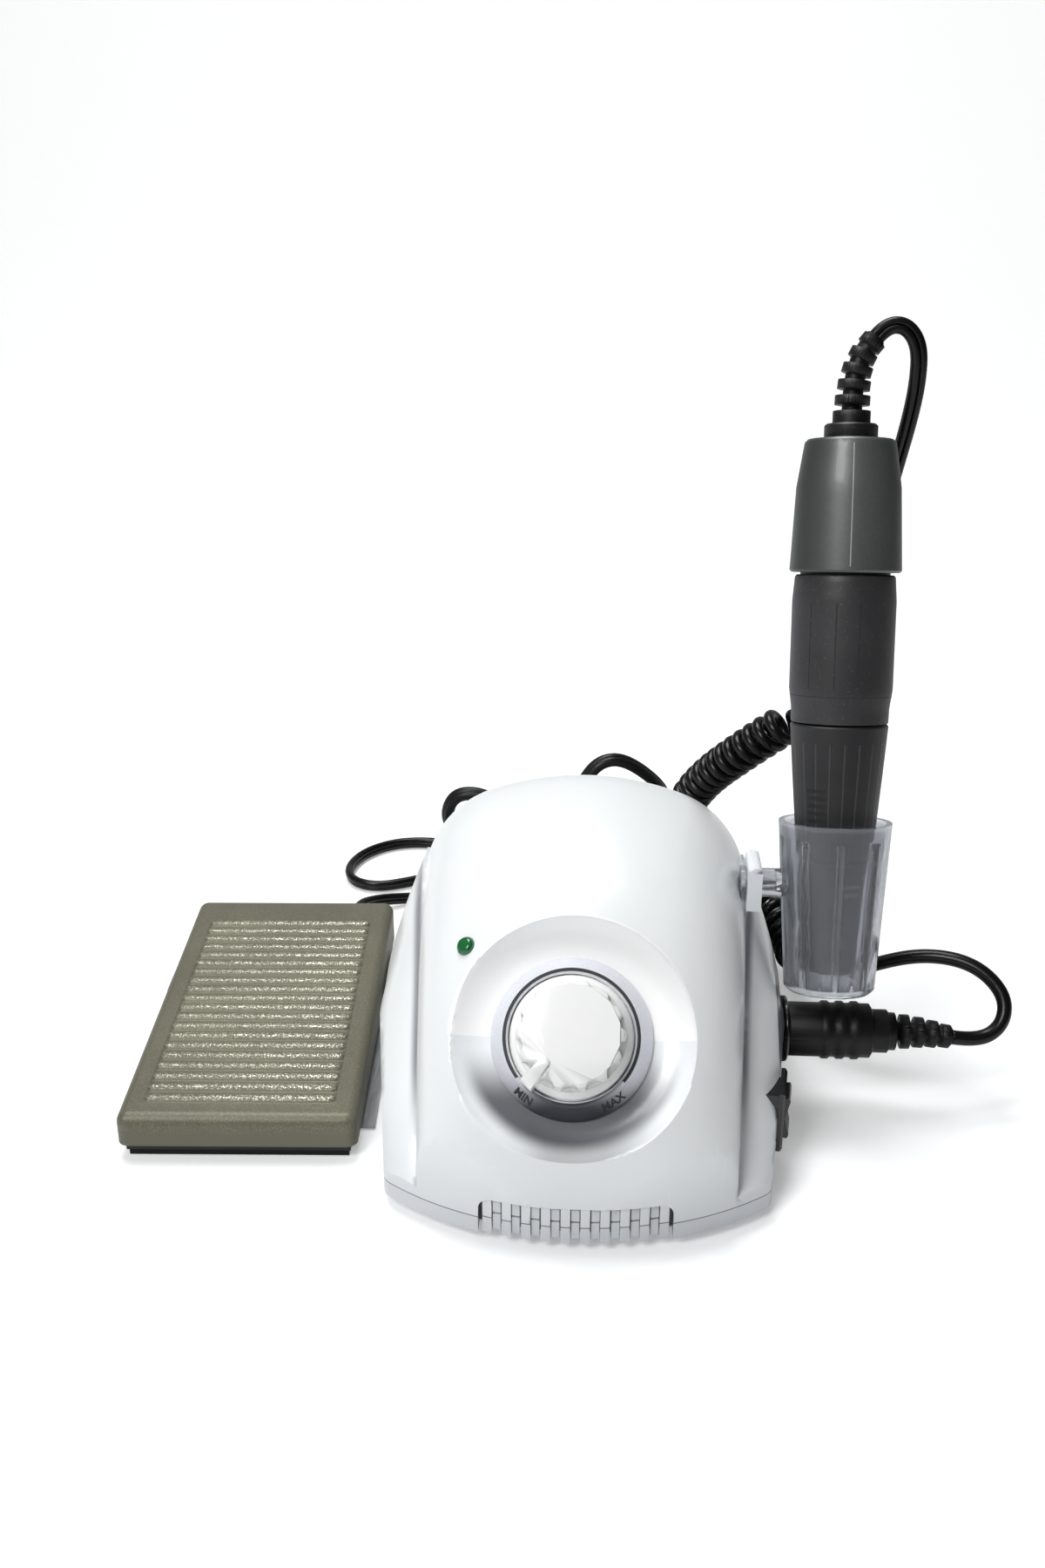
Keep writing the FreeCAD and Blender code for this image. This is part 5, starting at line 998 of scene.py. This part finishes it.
def louvre_pair(width, depth, rows, edge):
    """Two louvres of one slot: blocks with rounded edges, given as middle height and height."""
    build = bmesh.new()
    for middle, height in rows:
        block = bmesh.ops.create_cube(build, size=1.0)["verts"]
        bmesh.ops.scale(build, vec=(width, depth, height), verts=block)
        bmesh.ops.translate(build, vec=(0, 0, middle), verts=block)
    bmesh.ops.bevel(build, geom=build.edges[:], offset=edge, segments=2, affect="EDGES", profile=0.6)
    mesh = bpy.data.meshes.new("louvre")
    build.to_mesh(mesh)
    build.free()
    return bpy.data.objects.new("louvre", mesh)


LOUVRE_WIDTH, LOUVRE_DEPTH, LOUVRE_EDGE = 0.0022, 0.0008, 0.0002
LOUVRE_ROWS = [(0.0110, 0.0036), (0.0063, 0.0048)]
LOUVRE_COUNT, LOUVRE_REACH, LOUVRE_BACK = 9, 0.020, 0.00175


def louvres():
    """Pale louvres that stand in the slots between the grille's bars."""
    tree, sockets = louvre_tree()
    unit = louvre_pair(LOUVRE_WIDTH, LOUVRE_DEPTH, LOUVRE_ROWS, LOUVRE_EDGE)
    near, bow = FRONT_BOW
    radius = bow / 1000 - LOUVRE_BACK
    thing = bpy.data.objects.new("grille_louvres", bpy.data.meshes.new("grille_louvres"))
    bpy.context.collection.objects.link(thing)
    grid = thing.modifiers.new("louvres", "NODES")
    grid.node_group = tree
    for label, value in (
            ("Louvre", unit), ("Count", LOUVRE_COUNT), ("Bow radius", radius),
            ("Sweep", 2 * math.asin(LOUVRE_REACH / radius)),
            ("Place", tuple(at(0, near + bow, 0.0))), ("Finish", finish["louvre"])):
        grid[sockets[label]] = value
    settled(thing)
    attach(thing, "console")
    bpy.data.objects.remove(unit)


skins()
springs()
dial_ring()
dial_word("MIN", 232.0, 5.0, 3.3)
dial_word("MAX", 305.0, 6.4, 3.3)
louvres()


# Room: floor, backdrop and lamps

WORLD_LEFT, WORLD_RIGHT, FLOOR_GLOW = 0.26, 0.05, 0.3
LAMPS = [
    ("key", (-0.50, -0.85, 1.05), (0, 0, 0.05), 0.5, 0.5, 9.6),
    ("top", (-0.16, 0.30, 1.3), (0, 0, 0.0), 0.7, 0.6, 12.0)]


def seen_directly(g):
    """1 for the eye and for what is seen through clear pieces."""
    path = g.node("ShaderNodeLightPath")
    return Wire(g, path.outputs["Is Camera Ray"]).most(Wire(g, path.outputs["Is Transmission Ray"]))


def room():
    data = bpy.data.meshes.new("floor")
    build = bmesh.new()
    reach = 3.0
    rows = [(-reach, 0.0), (1.2, 0.0)]
    for i in range(1, 13):
        a = math.pi / 2 * i / 12
        rows.append((1.2 + 0.5 * math.sin(a), 0.5 - 0.5 * math.cos(a)))
    rows.append((1.7, 3.0))
    strips = [[build.verts.new((x, y, z - 0.0002)) for x in (-reach, reach)] for y, z in rows]
    for low, high in zip(strips, strips[1:]):
        build.faces.new((low[0], low[1], high[1], high[0])).smooth = True
    build.to_mesh(data)
    build.free()
    floor = bpy.data.objects.new("floor", data)
    bpy.context.collection.objects.link(floor)
    g = Graph("floor_white")
    soft = g.noise(3, 2)
    seen = seen_directly(g)
    glow = 1 + g.parts(g.place)[1].smooth(0.3, 1.3) * 0.8
    g.set(Base_Color=g.mixed(soft, paint(240, 241, 242), paint(244, 245, 246)), Roughness=0.9)
    g.set(Emission_Color=g.mixed(seen * glow * FLOOR_GLOW, (0.0, 0.0, 0.0, 1.0), (1.0, 1.0, 1.0, 1.0)))
    g.shader.inputs["Emission Strength"].default_value = 1.0
    data.materials.append(g.material)

    world = bpy.data.worlds.new("room")
    bpy.context.scene.world = world
    world.use_nodes = True
    tree = world.node_tree
    sky = tree.nodes["Background"]
    light = tree.nodes.new("ShaderNodeLightPath")
    whole = tree.nodes.new("ShaderNodeMath")
    whole.operation = "MAXIMUM"
    level = tree.nodes.new("ShaderNodeMapRange")
    aim = tree.nodes.new("ShaderNodeTexCoord")
    sides = tree.nodes.new("ShaderNodeSeparateXYZ")
    fade = tree.nodes.new("ShaderNodeMapRange")
    for label, value in (
            ("From Min", -0.7), ("From Max", 0.7), ("To Min", WORLD_LEFT), ("To Max", WORLD_RIGHT)):
        fade.inputs[label].default_value = value
    tree.links.new(aim.outputs["Generated"], sides.inputs[0])
    tree.links.new(sides.outputs["X"], fade.inputs["Value"])
    tree.links.new(fade.outputs[0], level.inputs["To Min"])
    level.inputs["To Max"].default_value = 1.0
    tree.links.new(light.outputs["Is Camera Ray"], whole.inputs[0])
    tree.links.new(light.outputs["Is Transmission Ray"], whole.inputs[1])
    tree.links.new(whole.outputs[0], level.inputs["Value"])
    tree.links.new(level.outputs[0], sky.inputs["Strength"])
    sky.inputs[0].default_value = (1, 1, 1, 1)

    for name, place, target, width, height, power in LAMPS:
        lamp = bpy.data.lights.new(name, "AREA")
        lamp.shape = "RECTANGLE"
        lamp.size, lamp.size_y, lamp.energy = width, height, power
        thing = bpy.data.objects.new(name, lamp)
        thing.location = place
        thing.rotation_euler = (Vector(target) - Vector(place)).to_track_quat("-Z", "Y").to_euler()
        bpy.context.collection.objects.link(thing)


room()
bpy.context.scene.view_settings.view_transform = "Standard"
